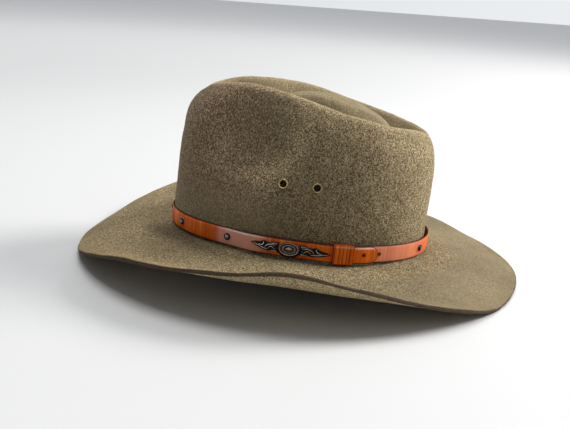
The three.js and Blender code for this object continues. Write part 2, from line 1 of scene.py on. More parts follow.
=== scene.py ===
"""Looks of the outback hat: felt crown and brim, leather band, castings, studs and vent eyelets.

Shapes are worked out in millimetres in the band's frame, where the origin is the middle of the
band's oval, z is 0 on its lower edge, +X is the wearer's left and -Y the front. They are then laid
down as the hat rests and scaled to metres.
"""

import logging
import math
from dataclasses import dataclass, field
from enum import Enum
from typing import Callable, NamedTuple, Optional, Sequence, Union

import bpy
import numpy as np
from mathutils import Matrix, Vector

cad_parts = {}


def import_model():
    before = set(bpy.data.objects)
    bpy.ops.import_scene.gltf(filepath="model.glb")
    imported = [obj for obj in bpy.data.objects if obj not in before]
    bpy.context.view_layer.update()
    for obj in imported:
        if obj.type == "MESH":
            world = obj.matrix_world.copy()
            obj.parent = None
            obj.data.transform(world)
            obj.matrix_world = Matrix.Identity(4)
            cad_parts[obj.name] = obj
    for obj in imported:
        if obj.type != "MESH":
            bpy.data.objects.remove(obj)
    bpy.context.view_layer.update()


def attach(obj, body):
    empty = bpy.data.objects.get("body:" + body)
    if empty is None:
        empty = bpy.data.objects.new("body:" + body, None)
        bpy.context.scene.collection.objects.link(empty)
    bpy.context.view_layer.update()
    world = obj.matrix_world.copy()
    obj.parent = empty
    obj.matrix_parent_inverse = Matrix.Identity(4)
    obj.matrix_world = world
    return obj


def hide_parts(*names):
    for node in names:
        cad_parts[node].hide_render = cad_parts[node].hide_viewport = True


LOG = logging.getLogger("hat")
METRES = 0.001
FULL_TURN = 2 * math.pi
IMAGE_WIDTH = 570


class Slot(Enum):
    """Material slots of the record."""

    FELT = "felt"
    LEATHER = "band_leather"
    NICKEL = "ornament_metal"
    BRASS = "eyelet_brass"


# Shader nodes

Number = Union["Wire", float]
Colour = tuple[float, float, float]


class Wire:
    """Output of a shader node. Arithmetic on it adds Math nodes."""

    def __init__(self, paint: "Paint", socket: bpy.types.NodeSocket) -> None:
        """Keeps the socket.

        Args:
            paint: The node tree that the socket belongs to.
            socket: An output socket.
        """
        self.paint = paint
        self.socket = socket

    def _math(self, operation: str, first: Number, second: Number) -> "Wire":
        """Adds a Math node.

        Args:
            operation: The node's operation.
            first: First input.
            second: Second input.

        Returns:
            The node's output.
        """
        return self.paint.node("ShaderNodeMath", {"operation": operation}, {0: first, 1: second})

    def __add__(self, other: Number) -> "Wire":
        """This plus other."""
        return self._math("ADD", self, other)

    def __radd__(self, other: Number) -> "Wire":
        """Other plus this."""
        return self._math("ADD", other, self)

    def __sub__(self, other: Number) -> "Wire":
        """This minus other."""
        return self._math("SUBTRACT", self, other)

    def __rsub__(self, other: Number) -> "Wire":
        """Other minus this."""
        return self._math("SUBTRACT", other, self)

    def __mul__(self, other: Number) -> "Wire":
        """This times other."""
        return self._math("MULTIPLY", self, other)

    def __rmul__(self, other: Number) -> "Wire":
        """Other times this."""
        return self._math("MULTIPLY", other, self)


class Grain(NamedTuple):
    """Noise: lumps a metre, octaves, strength of the finer ones, scale of its second axis."""

    scale: float
    octaves: float
    rough: float
    drawn: float = 1


class Paint:
    """A material under construction."""

    def __init__(self, name: str) -> None:
        """Makes an empty material.

        Args:
            name: The material's name.
        """
        self.material = bpy.data.materials.new(name)
        self.material.use_nodes = True
        self.tree = self.material.node_tree
        self.tree.nodes.clear()

    def node(
        self,
        kind: str,
        settings: Optional[dict[str, object]] = None,
        inputs: Optional[dict[Union[int, str], object]] = None,
        output: Union[int, str] = 0,
    ) -> Wire:
        """Adds any node.

        Args:
            kind: The node's type.
            settings: The node's own settings, set before its inputs.
            inputs: Values or wires by socket name or number.
            output: The output to hand back.

        Returns:
            That output.
        """
        made = self.tree.nodes.new(kind)
        for name, value in (settings or {}).items():
            setattr(made, name, value)
        for name, value in (inputs or {}).items():
            if isinstance(value, Wire):
                self.tree.links.new(value.socket, made.inputs[name])
            else:
                made.inputs[name].default_value = value
        return Wire(self, made.outputs[output])

    def place(self) -> Wire:
        """Position on the object, in metres."""
        return self.node("ShaderNodeTexCoord", output="Object")

    def layer(self, name: str) -> Wire:
        """Value kept at each point of the mesh."""
        return self.node("ShaderNodeAttribute", {"attribute_name": name}, output="Fac")

    def stretched(self, vector: Wire, scale: Sequence[float]) -> Wire:
        """Vector with each axis scaled.

        Args:
            vector: The vector.
            scale: Factor of each axis.

        Returns:
            The scaled vector.
        """
        return self.node(
            "ShaderNodeVectorMath", {"operation": "MULTIPLY"}, {0: vector, 1: tuple(scale)}
        )

    def noise(self, vector: Wire, grain: Grain) -> Wire:
        """Soft noise around one half.

        Args:
            vector: Where it is read.
            grain: How coarse it is.

        Returns:
            The noise.
        """
        if grain.drawn != 1:
            vector = self.stretched(vector, (1, grain.drawn, 1))
        inputs = {"Scale": grain.scale, "Detail": grain.octaves, "Roughness": grain.rough}
        return self.node("ShaderNodeTexNoise", None, {"Vector": vector, **inputs})

    def step(self, value: Wire, ends: tuple[float, float]) -> Wire:
        """Smooth step.

        Args:
            value: What is stepped.
            ends: Where it is still 0, and where it is 1.

        Returns:
            The step, from 0 to 1.
        """
        return self.node(
            "ShaderNodeMapRange",
            {"interpolation_type": "SMOOTHSTEP"},
            {"Value": value, "From Min": ends[0], "From Max": ends[1]},
        )

    def blend(self, factor: Number, first: object, second: object) -> Wire:
        """Mix of two colours.

        Args:
            factor: Share of the second.
            first: Colour or wire.
            second: Colour or wire.

        Returns:
            The mixed colour.
        """
        ends = [c if isinstance(c, Wire) else (*c, 1) for c in (first, second)]
        return self.node(
            "ShaderNodeMix",
            {"data_type": "RGBA"},
            {0: factor, 6: ends[0], 7: ends[1]},
            output=2,
        )

    def shade(self, colour: Wire, amount: Wire) -> Wire:
        """Colour made lighter or darker.

        Args:
            colour: The colour.
            amount: Factor, around 1.

        Returns:
            The scaled colour.
        """
        return self.node(
            "ShaderNodeVectorMath", {"operation": "SCALE"}, {0: colour, "Scale": amount}
        )

    def bump(self, height: Wire, depth: float, strength: float = 1.0) -> Wire:
        """Normal from a height.

        Args:
            height: Height, 0 to 1.
            depth: What 1 stands for, in millimetres.
            strength: Share of the bump that is used.

        Returns:
            The normal.
        """
        return self.node(
            "ShaderNodeBump",
            None,
            {"Height": height, "Distance": depth * METRES, "Strength": strength},
        )

    def finish(self, inputs: dict[str, object]) -> bpy.types.Material:
        """Adds the surface shader.

        Args:
            inputs: Values or wires by socket name.

        Returns:
            The finished material.
        """
        shader = self.node("ShaderNodeBsdfPrincipled", None, inputs)
        output = self.tree.nodes.new("ShaderNodeOutputMaterial")
        self.tree.links.new(shader.socket, output.inputs["Surface"])
        return self.material


@dataclass(frozen=True)
class FeltFinish:
    """Pressed wool felt: a matted nap with paler flecks, darker on the cut edge, with painted light
    and painted shade from the mesh's layers.
    """

    name: str = "felt_olive_brown"
    base: Colour = (0.236, 0.180, 0.092)
    shadow: Colour = (0.032, 0.024, 0.012)
    fleck: Colour = (0.486, 0.400, 0.262)
    cut: Colour = (0.042, 0.024, 0.017)
    worn: Colour = (0.286, 0.204, 0.098)
    tan: Colour = (0.240, 0.166, 0.099)
    tan_shadow: Colour = (0.026, 0.016, 0.009)
    tan_fleck: Colour = (0.515, 0.400, 0.280)
    brushed: Colour = (0.238, 0.194, 0.118)
    sheen: tuple[float, ...] = (1.0, 0.86, 0.62, 1)
    sheen_share: float = 0.07
    sheen_rough: float = 0.5
    rough: float = 0.95
    specular: float = 0.12
    cloud: Grain = Grain(22.0, 3.0, 0.55)
    blotch: Grain = Grain(150.0, 3.0, 0.6)
    clump: Grain = Grain(380.0, 4.0, 0.75)
    nap: Grain = Grain(900.0, 4.0, 0.72)
    fibre: Grain = Grain(2300.0, 3.0, 0.7)
    clump_part: float = 0.18
    nap_part: float = 0.52
    fibre_part: float = 0.30
    dark_ends: tuple[float, float] = (0.425, 0.525)
    pale_ends: tuple[float, float] = (0.52, 0.585)
    worn_share: float = 0.4
    tone: float = 0.53
    cloud_tone: float = 0.66
    blotch_tone: float = 0.28
    # Strengths of the painted light and of the painted shade.
    painted_light_tone: float = 0.40
    painted_shade_tone: float = 0.28
    cut_share: float = 0.45
    cut_nap: float = 0.9
    bump_nap: float = 0.7
    bump_fibre: float = 0.3
    bump_blotch: float = 0.5
    bump_depth: float = 1.2
    bump_share: float = 0.8

    def colour(self, paint: Paint, clump: Wire, nap: Wire, fibre: Wire) -> Wire:
        """Colour of the nap, with its dark gaps and pale flecks, before its tone.

        Args:
            paint: The material.
            clump: Coarse noise.
            nap: Middle noise.
            fibre: Fine noise.

        Returns:
            The colour.
        """
        grain = clump * self.clump_part + nap * self.nap_part + fibre * self.fibre_part
        dark = paint.step(grain, self.dark_ends)
        pale = paint.step(grain, self.pale_ends)
        olive = paint.blend(pale, paint.blend(dark, self.shadow, self.base), self.fleck)
        tan = paint.blend(pale, paint.blend(dark, self.tan_shadow, self.tan), self.tan_fleck)
        colour = paint.blend(paint.layer("tan"), olive, tan)
        colour = paint.blend(paint.layer("worn") * self.worn_share, colour, self.worn)
        return paint.blend(paint.layer("smooth"), colour, self.brushed)

    def material(self) -> bpy.types.Material:
        """Builds the material.

        Returns:
            The material.
        """
        paint = Paint(self.name)
        place = paint.place()
        cloud = paint.noise(place, self.cloud)
        blotch = paint.noise(place, self.blotch)
        nap = paint.noise(place, self.nap)
        fibre = paint.noise(place, self.fibre)
        clump = paint.noise(place, self.clump)
        colour = self.colour(paint, clump, nap, fibre)
        tone = self.tone + cloud * self.cloud_tone + blotch * self.blotch_tone
        # Painted light (lit crest, fold, brim and back wall) and painted shade (pinch, under the
        # crest, brim, cast shadow) from the mesh's layers.
        tone = tone + paint.layer("rubbed_and_painted_light") * self.painted_light_tone
        tone = tone - paint.layer("painted_shade") * self.painted_shade_tone
        cut = paint.layer("cut") * (self.cut_share + nap * self.cut_nap)
        colour = paint.blend(cut, paint.shade(colour, tone), self.cut)
        height = nap * self.bump_nap + fibre * self.bump_fibre + blotch * self.bump_blotch
        return paint.finish(
            {
                "Base Color": colour,
                "Roughness": self.rough,
                "Specular IOR Level": self.specular,
                "Sheen Weight": self.sheen_share,
                "Sheen Roughness": self.sheen_rough,
                "Sheen Tint": self.sheen,
                "Normal": paint.bump(height, self.bump_depth, self.bump_share),
            }
        )


@dataclass(frozen=True)
class LeatherFinish:
    """Waxed tan leather with cross streaks, dark burnished edges, painted shade, painted
    reflections and a painted highlight line.
    """

    name: str = "leather_tan"
    base: Colour = (0.750, 0.136, 0.005)
    deep: Colour = (0.530, 0.075, 0.002)
    pale: Colour = (0.790, 0.235, 0.028)
    pale_line: Colour = (0.770, 0.350, 0.130)
    # Colours of the painted reflection and of the painted highlight line.
    rubbed_and_painted_light: Colour = (0.740, 0.300, 0.215)
    painted_highlight: Colour = (0.900, 0.680, 0.600)
    burnish: Colour = (0.009, 0.003, 0.0015)
    streak: Grain = Grain(330.0, 3.0, 0.6, drawn=0.06)
    band: Grain = Grain(75.0, 2.0, 0.5, drawn=0.05)
    crack: Grain = Grain(420.0, 1.0, 0.5, drawn=0.03)
    pore: Grain = Grain(2600.0, 3.0, 0.6)
    cloud: Grain = Grain(60.0, 2.0, 0.5)
    base_parts: tuple[float, float] = (0.7, 0.3)
    base_ends: tuple[float, float] = (0.36, 0.58)
    pale_parts: tuple[float, float] = (0.5, 0.5)
    pale_ends: tuple[float, float] = (0.53, 0.66)
    crack_ends: tuple[float, float] = (0.60, 0.70)
    crack_share: float = 0.65
    painted_reflection_share: float = 0.52
    painted_reflection_streak: float = 0.6
    painted_highlight_share: float = 0.3
    painted_highlight_streak: float = 0.9
    tone: float = 0.78
    cloud_tone: float = 0.30
    pore_tone: float = 0.22
    burnish_share: float = 0.75
    burnish_pore: float = 0.4
    rough: float = 0.40
    pore_rough: float = 0.14
    burnish_rough: float = 0.3
    specular: float = 0.05
    coat: float = 0.15
    coat_lost: float = 0.14
    coat_rough: float = 0.22
    bump_depth: float = 0.12
    bump_share: float = 0.25

    def material(self) -> bpy.types.Material:
        """Builds the material.

        Returns:
            The material.
        """
        paint = Paint(self.name)
        flat = paint.node("ShaderNodeUVMap", {"uv_map": "flat"})
        place = paint.place()
        streak, band, crack = [paint.noise(flat, g) for g in (self.streak, self.band, self.crack)]
        pore, cloud = paint.noise(place, self.pore), paint.noise(place, self.cloud)
        wide, fine = self.base_parts
        base = paint.step(band * wide + streak * fine, self.base_ends)
        wide, fine = self.pale_parts
        pale = paint.step(band * wide + streak * fine, self.pale_ends)
        # Painted reflection of the lamps in the strap, and a painted highlight line on its upper
        # shoulder.
        rubbed_and_painted_light = paint.layer("rubbed_and_painted_light") * (self.painted_reflection_share + streak * self.painted_reflection_streak)
        line = paint.step(crack, self.crack_ends) * self.crack_share
        painted_highlight = paint.layer("painted_highlight") * (self.painted_highlight_share + streak * self.painted_highlight_streak)
        colour = paint.blend(base, self.deep, self.base)
        colour = paint.blend(pale, colour, self.pale)
        colour = paint.blend(rubbed_and_painted_light, colour, self.rubbed_and_painted_light)
        colour = paint.blend(line, colour, self.pale_line)
        colour = paint.blend(painted_highlight, colour, self.painted_highlight)
        tone = self.tone + cloud * self.cloud_tone + pore * self.pore_tone
        # The edge layer holds the burnished edges and also painted shade round the holes, under the
        # oval and on the darkened arcs.
        burnish = paint.layer("edge") * (self.burnish_share + pore * self.burnish_pore)
        colour = paint.blend(burnish, paint.shade(colour, tone), self.burnish)
        height = streak * 0.5 + pore * 0.5
        rough = self.rough + pore * self.pore_rough + burnish * self.burnish_rough
        return paint.finish(
            {
                "Base Color": colour,
                "Roughness": rough,
                "Specular IOR Level": self.specular,
                "Coat Weight": self.coat - burnish * self.coat_lost,
                "Coat Roughness": self.coat_rough,
                "Normal": paint.bump(height, self.bump_depth, self.bump_share),
            }
        )


@dataclass(frozen=True)
class MetalFinish:
    """Plated metal, dark in the recesses and rubbed bright on what stands proud."""

    name: str
    bright: Colour
    dark: Colour
    rough: float = 0.30
    dark_rough: float = 0.62
    low: float = 0.50
    high: float = 0.95
    wear: Grain = Grain(900.0, 3.0, 0.6)
    pit: Grain = Grain(4200.0, 2.0, 0.6)
    tone: float = 0.78
    wear_tone: float = 0.44
    metallic: float = 0.25
    pit_rough: float = 0.08
    wear_bump: float = 0.6
    pit_bump: float = 0.4
    specular: float = 0.15
    bump_depth: float = 0.06
    bump_share: float = 0.5

    def material(self) -> bpy.types.Material:
        """Builds the material.

        Returns:
            The material.
        """
        paint = Paint(self.name)
        place = paint.place()
        wear = paint.noise(place, self.wear)
        pit = paint.noise(place, self.pit)
        rubbed_and_painted_light = paint.step(paint.layer("raised") + wear * 0.5, (self.low, self.high))
        colour = paint.blend(rubbed_and_painted_light, self.dark, self.bright)
        colour = paint.shade(colour, self.tone + wear * self.wear_tone)
        smoother = rubbed_and_painted_light * (self.dark_rough - self.rough)
        height = wear * self.wear_bump + pit * self.pit_bump
        return paint.finish(
            {
                "Base Color": colour,
                "Metallic": self.metallic + rubbed_and_painted_light * (1 - self.metallic),
                "Roughness": self.dark_rough - smoother + pit * self.pit_rough,
                "Specular IOR Level": self.specular,
                "Normal": paint.bump(height, self.bump_depth, self.bump_share),
            }
        )


NICKEL_DARK: Colour = (0.005, 0.005, 0.005)
STUD_NICKEL = MetalFinish(
    "antique_nickel_studs", (0.30, 0.295, 0.31), NICKEL_DARK, 0.22, low=0.8, high=1.2
)
OVAL_NICKEL = MetalFinish(
    "antique_nickel_oval", (0.215, 0.185, 0.185), (0.025, 0.023, 0.024), 0.42
)
SCROLL_NICKEL = MetalFinish(
    "antique_nickel_scrolls", (0.42, 0.405, 0.38), NICKEL_DARK, 0.30, low=0.72, high=1.15
)
BRASS = MetalFinish("antique_brass", (0.22, 0.17, 0.085), (0.018, 0.014, 0.008), 0.34)


@dataclass(frozen=True)
class FloorFinish:
    """Pale matt studio floor, with painted light far from the hat, where the lamps hardly reach it.
    """

    name: str = "pale_floor"
    base: Colour = (0.56, 0.57, 0.58)
    cloudy: Colour = (0.50, 0.51, 0.53)
    far: Colour = (0.93, 0.935, 0.945)
    far_ends: tuple[float, float] = (0.9, 2.6)
    cloud: Grain = Grain(3.0, 2.0, 0.5)
    cloud_share: float = 0.10
    rough: float = 0.6
    cloud_rough: float = 0.1

    def material(self) -> bpy.types.Material:
        """Builds the material.

        Returns:
            The material.
        """
        paint = Paint(self.name)
        place = paint.place()
        cloud = paint.noise(place, self.cloud)
        near = paint.blend(cloud * self.cloud_share, self.base, self.cloudy)
        length = {"operation": "LENGTH"}
        away = paint.node("ShaderNodeVectorMath", length, {0: place}, output="Value")
        # Painted light: paler with distance from the hat.
        colour = paint.blend(paint.step(away, self.far_ends), near, self.far)
        rough = self.rough + cloud * self.cloud_rough
        return paint.finish({"Base Color": colour, "Roughness": rough})


# Meshes


@dataclass(frozen=True)
class Rest:
    """How the hat lies on the floor, as in the part's source."""

    pitch: float = math.radians(-2.4)
    roll: float = math.radians(-1.3)
    lift: float = 23.2
    shift: tuple[float, float] = (0.1664, 0.4255)

    def matrix(self) -> np.ndarray:
        """Turn of the band's frame, without the shift.

        Returns:
            Three by three numbers.
        """
        pitch = Matrix.Rotation(self.pitch, 3, "X")
        roll = Matrix.Rotation(self.roll, 3, "Y")
        return np.array(roll @ pitch)

    def laid(self, points: np.ndarray) -> np.ndarray:
        """Points as the hat lies.

        Args:
            points: Points in the band's frame.

        Returns:
            Points in the row's frame, still in millimetres.
        """
        return points @ self.matrix().T + np.array((*self.shift, self.lift))


REST = Rest()


@dataclass
class Shell:
    """Closed mesh of points, faces and what is kept at each point."""

    points: np.ndarray
    faces: list[tuple[int, ...]]
    layers: dict[str, np.ndarray] = field(default_factory=dict)
    flat: Optional[np.ndarray] = None

    def volume(self) -> float:
        """Signed volume.

        Returns:
            The volume, positive where the faces point outward.
        """
        total = 0.0
        by_size: dict[int, list[tuple[int, ...]]] = {}
        for face in self.faces:
            by_size.setdefault(len(face), []).append(face)
        for size, faces in by_size.items():
            corners = self.points[np.array(faces)]
            for i in range(1, size - 1):
                cross = np.cross(corners[:, i], corners[:, i + 1])
                total += float(np.einsum("ij,ij->", corners[:, 0], cross))
        return total / 6

    def piece(
        self, name: str, material: bpy.types.Material, sharp: float = 35.0, laid: bool = True
    ) -> bpy.types.Object:
        """Makes the Blender object.

        Args:
            name: The piece's name.
            material: Its material.
            sharp: Edges turned by more than this many degrees stay sharp.
            laid: Whether the points still have to be laid as the hat rests.

        Returns:
            The object, in metres.
        """
        place = (REST.laid(self.points) if laid else self.points) * METRES
        faces = self.faces if self.volume() > 0 else [tuple(reversed(f)) for f in self.faces]
        mesh = bpy.data.meshes.new(name)
        mesh.from_pydata(place.tolist(), [], faces)
        for layer, values in self.layers.items():
            attribute = mesh.attributes.new(layer, "FLOAT", "POINT")
            attribute.data.foreach_set("value", values.astype(np.float32))
        if self.flat is not None:
            corners = np.zeros(len(mesh.loops), np.int32)
            mesh.loops.foreach_get("vertex_index", corners)
            uv = mesh.uv_layers.new(name="flat")
            uv.data.foreach_set("uv", (self.flat[corners] * METRES).astype(np.float32).ravel())
        mesh.polygons.foreach_set("use_smooth", [True] * len(mesh.polygons))
        mesh.set_sharp_from_angle(angle=math.radians(sharp))
        mesh.materials.append(material)
        mesh.update()
        made = bpy.data.objects.new(name, mesh)
        bpy.context.scene.collection.objects.link(made)
        return made


def loft(rings: np.ndarray, caps: bool = True) -> Shell:
    """Skin through closed rings of points.

    Args:
        rings: Rings by points by three.
        caps: Whether the first and last ring are closed with a flat face.

    Returns:
        The skin.
    """
    count, sides = rings.shape[:2]
    index = np.arange(count * sides).reshape(count, sides)
    after = np.roll(index, -1, axis=1)
    quads = np.stack([index[:-1], index[1:], after[1:], after[:-1]], axis=-1).reshape(-1, 4)
    faces = [tuple(q) for q in quads.tolist()]
    if caps:
        faces.append(tuple(index[0].tolist()))
        faces.append(tuple(reversed(index[-1].tolist())))
    return Shell(rings.reshape(-1, 3), faces)


def looped(rings: np.ndarray) -> Shell:
    """Skin through rings of which the last one joins the first.

    Args:
        rings: Rings by points by three.

    Returns:
        The skin, closed all round.
    """
    made = loft(np.concatenate([rings, rings[:1]]), caps=False)
    last = rings.shape[0] * rings.shape[1]
    faces = [tuple(i - last if i >= last else i for i in face) for face in made.faces]
    return Shell(made.points[:last], faces)


def turned(profile: Sequence[tuple[float, float]], sides: int, half: tuple[float, float]) -> Shell:
    """Solid of revolution about local Z, which may be oval.

    Args:
        profile: Radius and height from the axis below to the axis on top, without the two poles.
        sides: Points round it.
        half: Factors of the radius along local X and Y.

    Returns:
        The solid, in its own frame.
    """
    turn = np.arange(sides) / sides * FULL_TURN
    rings = [
        np.stack([r * half[0] * np.cos(turn), r * half[1] * np.sin(turn), np.full(sides, z)], 1)
        for r, z in profile
    ]
    return loft(np.array(rings))


def smoothstep(value: np.ndarray, low: float, high: float) -> np.ndarray:
    """Smooth step.

    Args:
        value: What is stepped.
        low: Where it is still 0.
        high: Where it is 1.

    Returns:
        The step, from 0 to 1.
    """
    share = np.clip((np.asarray(value, float) - low) / (high - low), 0, 1)
    return share * share * (3 - 2 * share)


def spline_rings(rings: np.ndarray, parts: Sequence[int]) -> np.ndarray:
    """Smooth rings between given ones, by a centripetal spline along every column.

    Args:
        rings: Given rings by columns by three.
        parts: New rings for each interval, the given one counted.

    Returns:
        All rings, the given ones among them.
    """
    padded = np.concatenate([[2 * rings[0] - rings[1]], rings, [2 * rings[-1] - rings[-2]]])
    gaps = np.sqrt(np.linalg.norm(np.diff(padded, axis=0), axis=2)) + 1e-9
    made = []
    for i, count in enumerate(parts):
        p0, p1, p2, p3 = padded[i : i + 4]
        t1 = gaps[i][:, None]
        t2 = t1 + gaps[i + 1][:, None]
        t3 = t2 + gaps[i + 2][:, None]
        for k in range(count):
            t = t1 + (t2 - t1) * k / count
            a1 = p0 * (t1 - t) / t1 + p1 * t / t1
            a2 = p1 * (t2 - t) / (t2 - t1) + p2 * (t - t1) / (t2 - t1)
            a3 = p2 * (t3 - t) / (t3 - t2) + p3 * (t - t2) / (t3 - t2)
            b1 = a1 * (t2 - t) / t2 + a2 * t / t2
            b2 = a2 * (t3 - t) / (t3 - t1) + a3 * (t - t1) / (t3 - t1)
            made.append(b1 * (t2 - t) / (t2 - t1) + b2 * (t - t1) / (t2 - t1))
    made.append(rings[-1])
    return np.array(made)


# Felt


class BrimRow(NamedTuple):
    """Brim at one angle from the front: reach beyond the band, edge height left and right, fall."""

    reach: float
    left: float
    right: float
    fall: float


class CrownRow(NamedTuple):
    """Crown rim at one angle from the front, with its crease, island and wall shares."""

    x: float
    y: float
    z: float
    crease: float
    island: float
    lean: float
    turn: float


BRIM_ROWS = (
    BrimRow(73.8, -28.5, -28.5, -14.9),
    BrimRow(74.1, -25.2, -23.5, -10.9),
    BrimRow(75.1, -14.4, -14.0, -4.8),
    BrimRow(76.2, -3.4, -2.2, -2.6),
    BrimRow(77.0, 2.6, 6.1, -6.2),
    BrimRow(77.5, 8.3, 9.8, -11.7),
    BrimRow(77.8, 14.9, 10.4, -15.2),
    BrimRow(78.0, 9.2, 5.5, -15.9),
    BrimRow(77.9, -0.2, -2.6, -14.6),
    BrimRow(77.5, -9.3, -6.6, -12.5),
    BrimRow(76.4, -16.4, -11.3, -10.9),
    BrimRow(74.5, -14.4, -13.1, -9.8),
    BrimRow(74.7, -12.3, -12.3, -9.4),
)
CROWN_ROWS = (
    CrownRow(0.0, -81.3, 111.4, 13, 0.45, 0.15, 11),
    CrownRow(9.5, -78.4, 112.4, 13, 0.45, 0.16, 11),
    CrownRow(17.5, -69.6, 114.8, 14, 0.42, 0.22, 12),
    CrownRow(26.0, -55.8, 117.1, 15, 0.38, 0.50, 14),
    CrownRow(36.8, -37.8, 117.7, 15, 0.34, 0.60, 15),
    CrownRow(47.8, -16.9, 115.5, 15, 0.31, 0.56, 16),
    CrownRow(56.5, 5.6, 111.1, 15, 0.30, 0.47, 15),
    CrownRow(60.0, 28.1, 105.7, 14, 0.32, 0.42, 13),
    CrownRow(53.8, 49.0, 100.9, 12, 0.40, 0.35, 11),
    CrownRow(37.5, 67.0, 97.9, 10, 0.50, 0.25, 10),
    CrownRow(21.0, 80.8, 95.3, 8, 0.58, 0.15, 10),
    CrownRow(9.6, 89.5, 92.6, 8, 0.60, 0.08, 10),
    CrownRow(0.0, 92.4, 91.5, 8, 0.60, 0.08, 10),
)
# Rows of the cut edge: share of the way down and share of the bulge.
CUT_ROWS = ((0.10, 0.55), (0.3, 0.95), (0.5, 1.0), (0.7, 0.95), (0.9, 0.5))


@dataclass(frozen=True)
class Eyelet:
    """Place of a vent eyelet: angle from the front and share of the wall's height."""

    name: str
    angle: float
    height: float


EYELETS = (
    Eyelet("eyelet_left_front", 81.9, 0.465),
    Eyelet("eyelet_left_rear", 95.9, 0.489),
    Eyelet("eyelet_right_front", -81.9, 0.465),
    Eyelet("eyelet_right_rear", -95.9, 0.489),
)


@dataclass(frozen=True)
class Fade:
    """Smooth step between two places."""

    low: float
    high: float

    def of(self, value: np.ndarray) -> np.ndarray:
        """0 up to the low place and 1 from the high one."""
        return smoothstep(value, self.low, self.high)


@dataclass(frozen=True)
class FeltWear:
    """Where the felt gets painted shade and painted light, is brushed smooth and browner, and how
    strongly.
    """

    wall: Fade = Fade(2, 9)
    # Painted highlight along the crown's rim crest.
    crest_start: Fade = Fade(-7, -1)
    crest_end: Fade = Fade(2.5, 7.5)
    brim_fall: Fade = Fade(-2, 2)
    brim_oval: tuple[float, float] = (100.0, 120.0)
    brim_start: Fade = Fade(1.0, 1.15)
    brim_back: Fade = Fade(0, 90)
    # Painted shade on the whole brim, stronger towards the back, and painted light on the brim's
    # front left tip.
    brim_dark: tuple[float, float] = (0.3, 0.4)
    brim_pale: tuple[float, float] = (0.3, 0.7)
    brim_tip: Fade = Fade(98, 135)
    brim_end: Fade = Fade(60, 110)
    left: Fade = Fade(5, 45)
    shadow_reach: Fade = Fade(13, 33)
    shadow_front: Fade = Fade(10, 80)
    shadow_low: Fade = Fade(-10, -4)
    shadow: float = 2.2
    reach: float = 95.0
    # Painted shade in a band under the rim crest, and in the pinch.
    under_crest_at: float = 10.0
    under_crest_width: float = 4.0
    under_crest_shade: float = 0.6
    dent: float = 0.8
    # Painted light on the back of the crown's wall.
    wall_back: Fade = Fade(15, 75)
    wall_foot: Fade = Fade(5, 30)
    painted_light_back: float = 0.55
    top_end: Fade = Fade(-3, 6)
    smooth_top: float = 0.55
    smooth_brim: float = 0.5
    low_start: Fade = Fade(3, 8)
    low_end: Fade = Fade(25, 50)
    low_front: Fade = Fade(-20, 35)
    smooth_low: float = 0.5
    tan_front: Fade = Fade(-5, 70)
    tan_height: Fade = Fade(25, 55)
    cut_above: float = 0.55
    cut_below: float = 0.8
    worn_rows: int = 11
    # The inside and the cut edge get strong painted light and no painted shade.
    inside: dict[str, float] = field(
        default_factory=lambda: {"painted_shade": 0.0, "rubbed_and_painted_light": 2.0, "smooth": 0.0}
    )


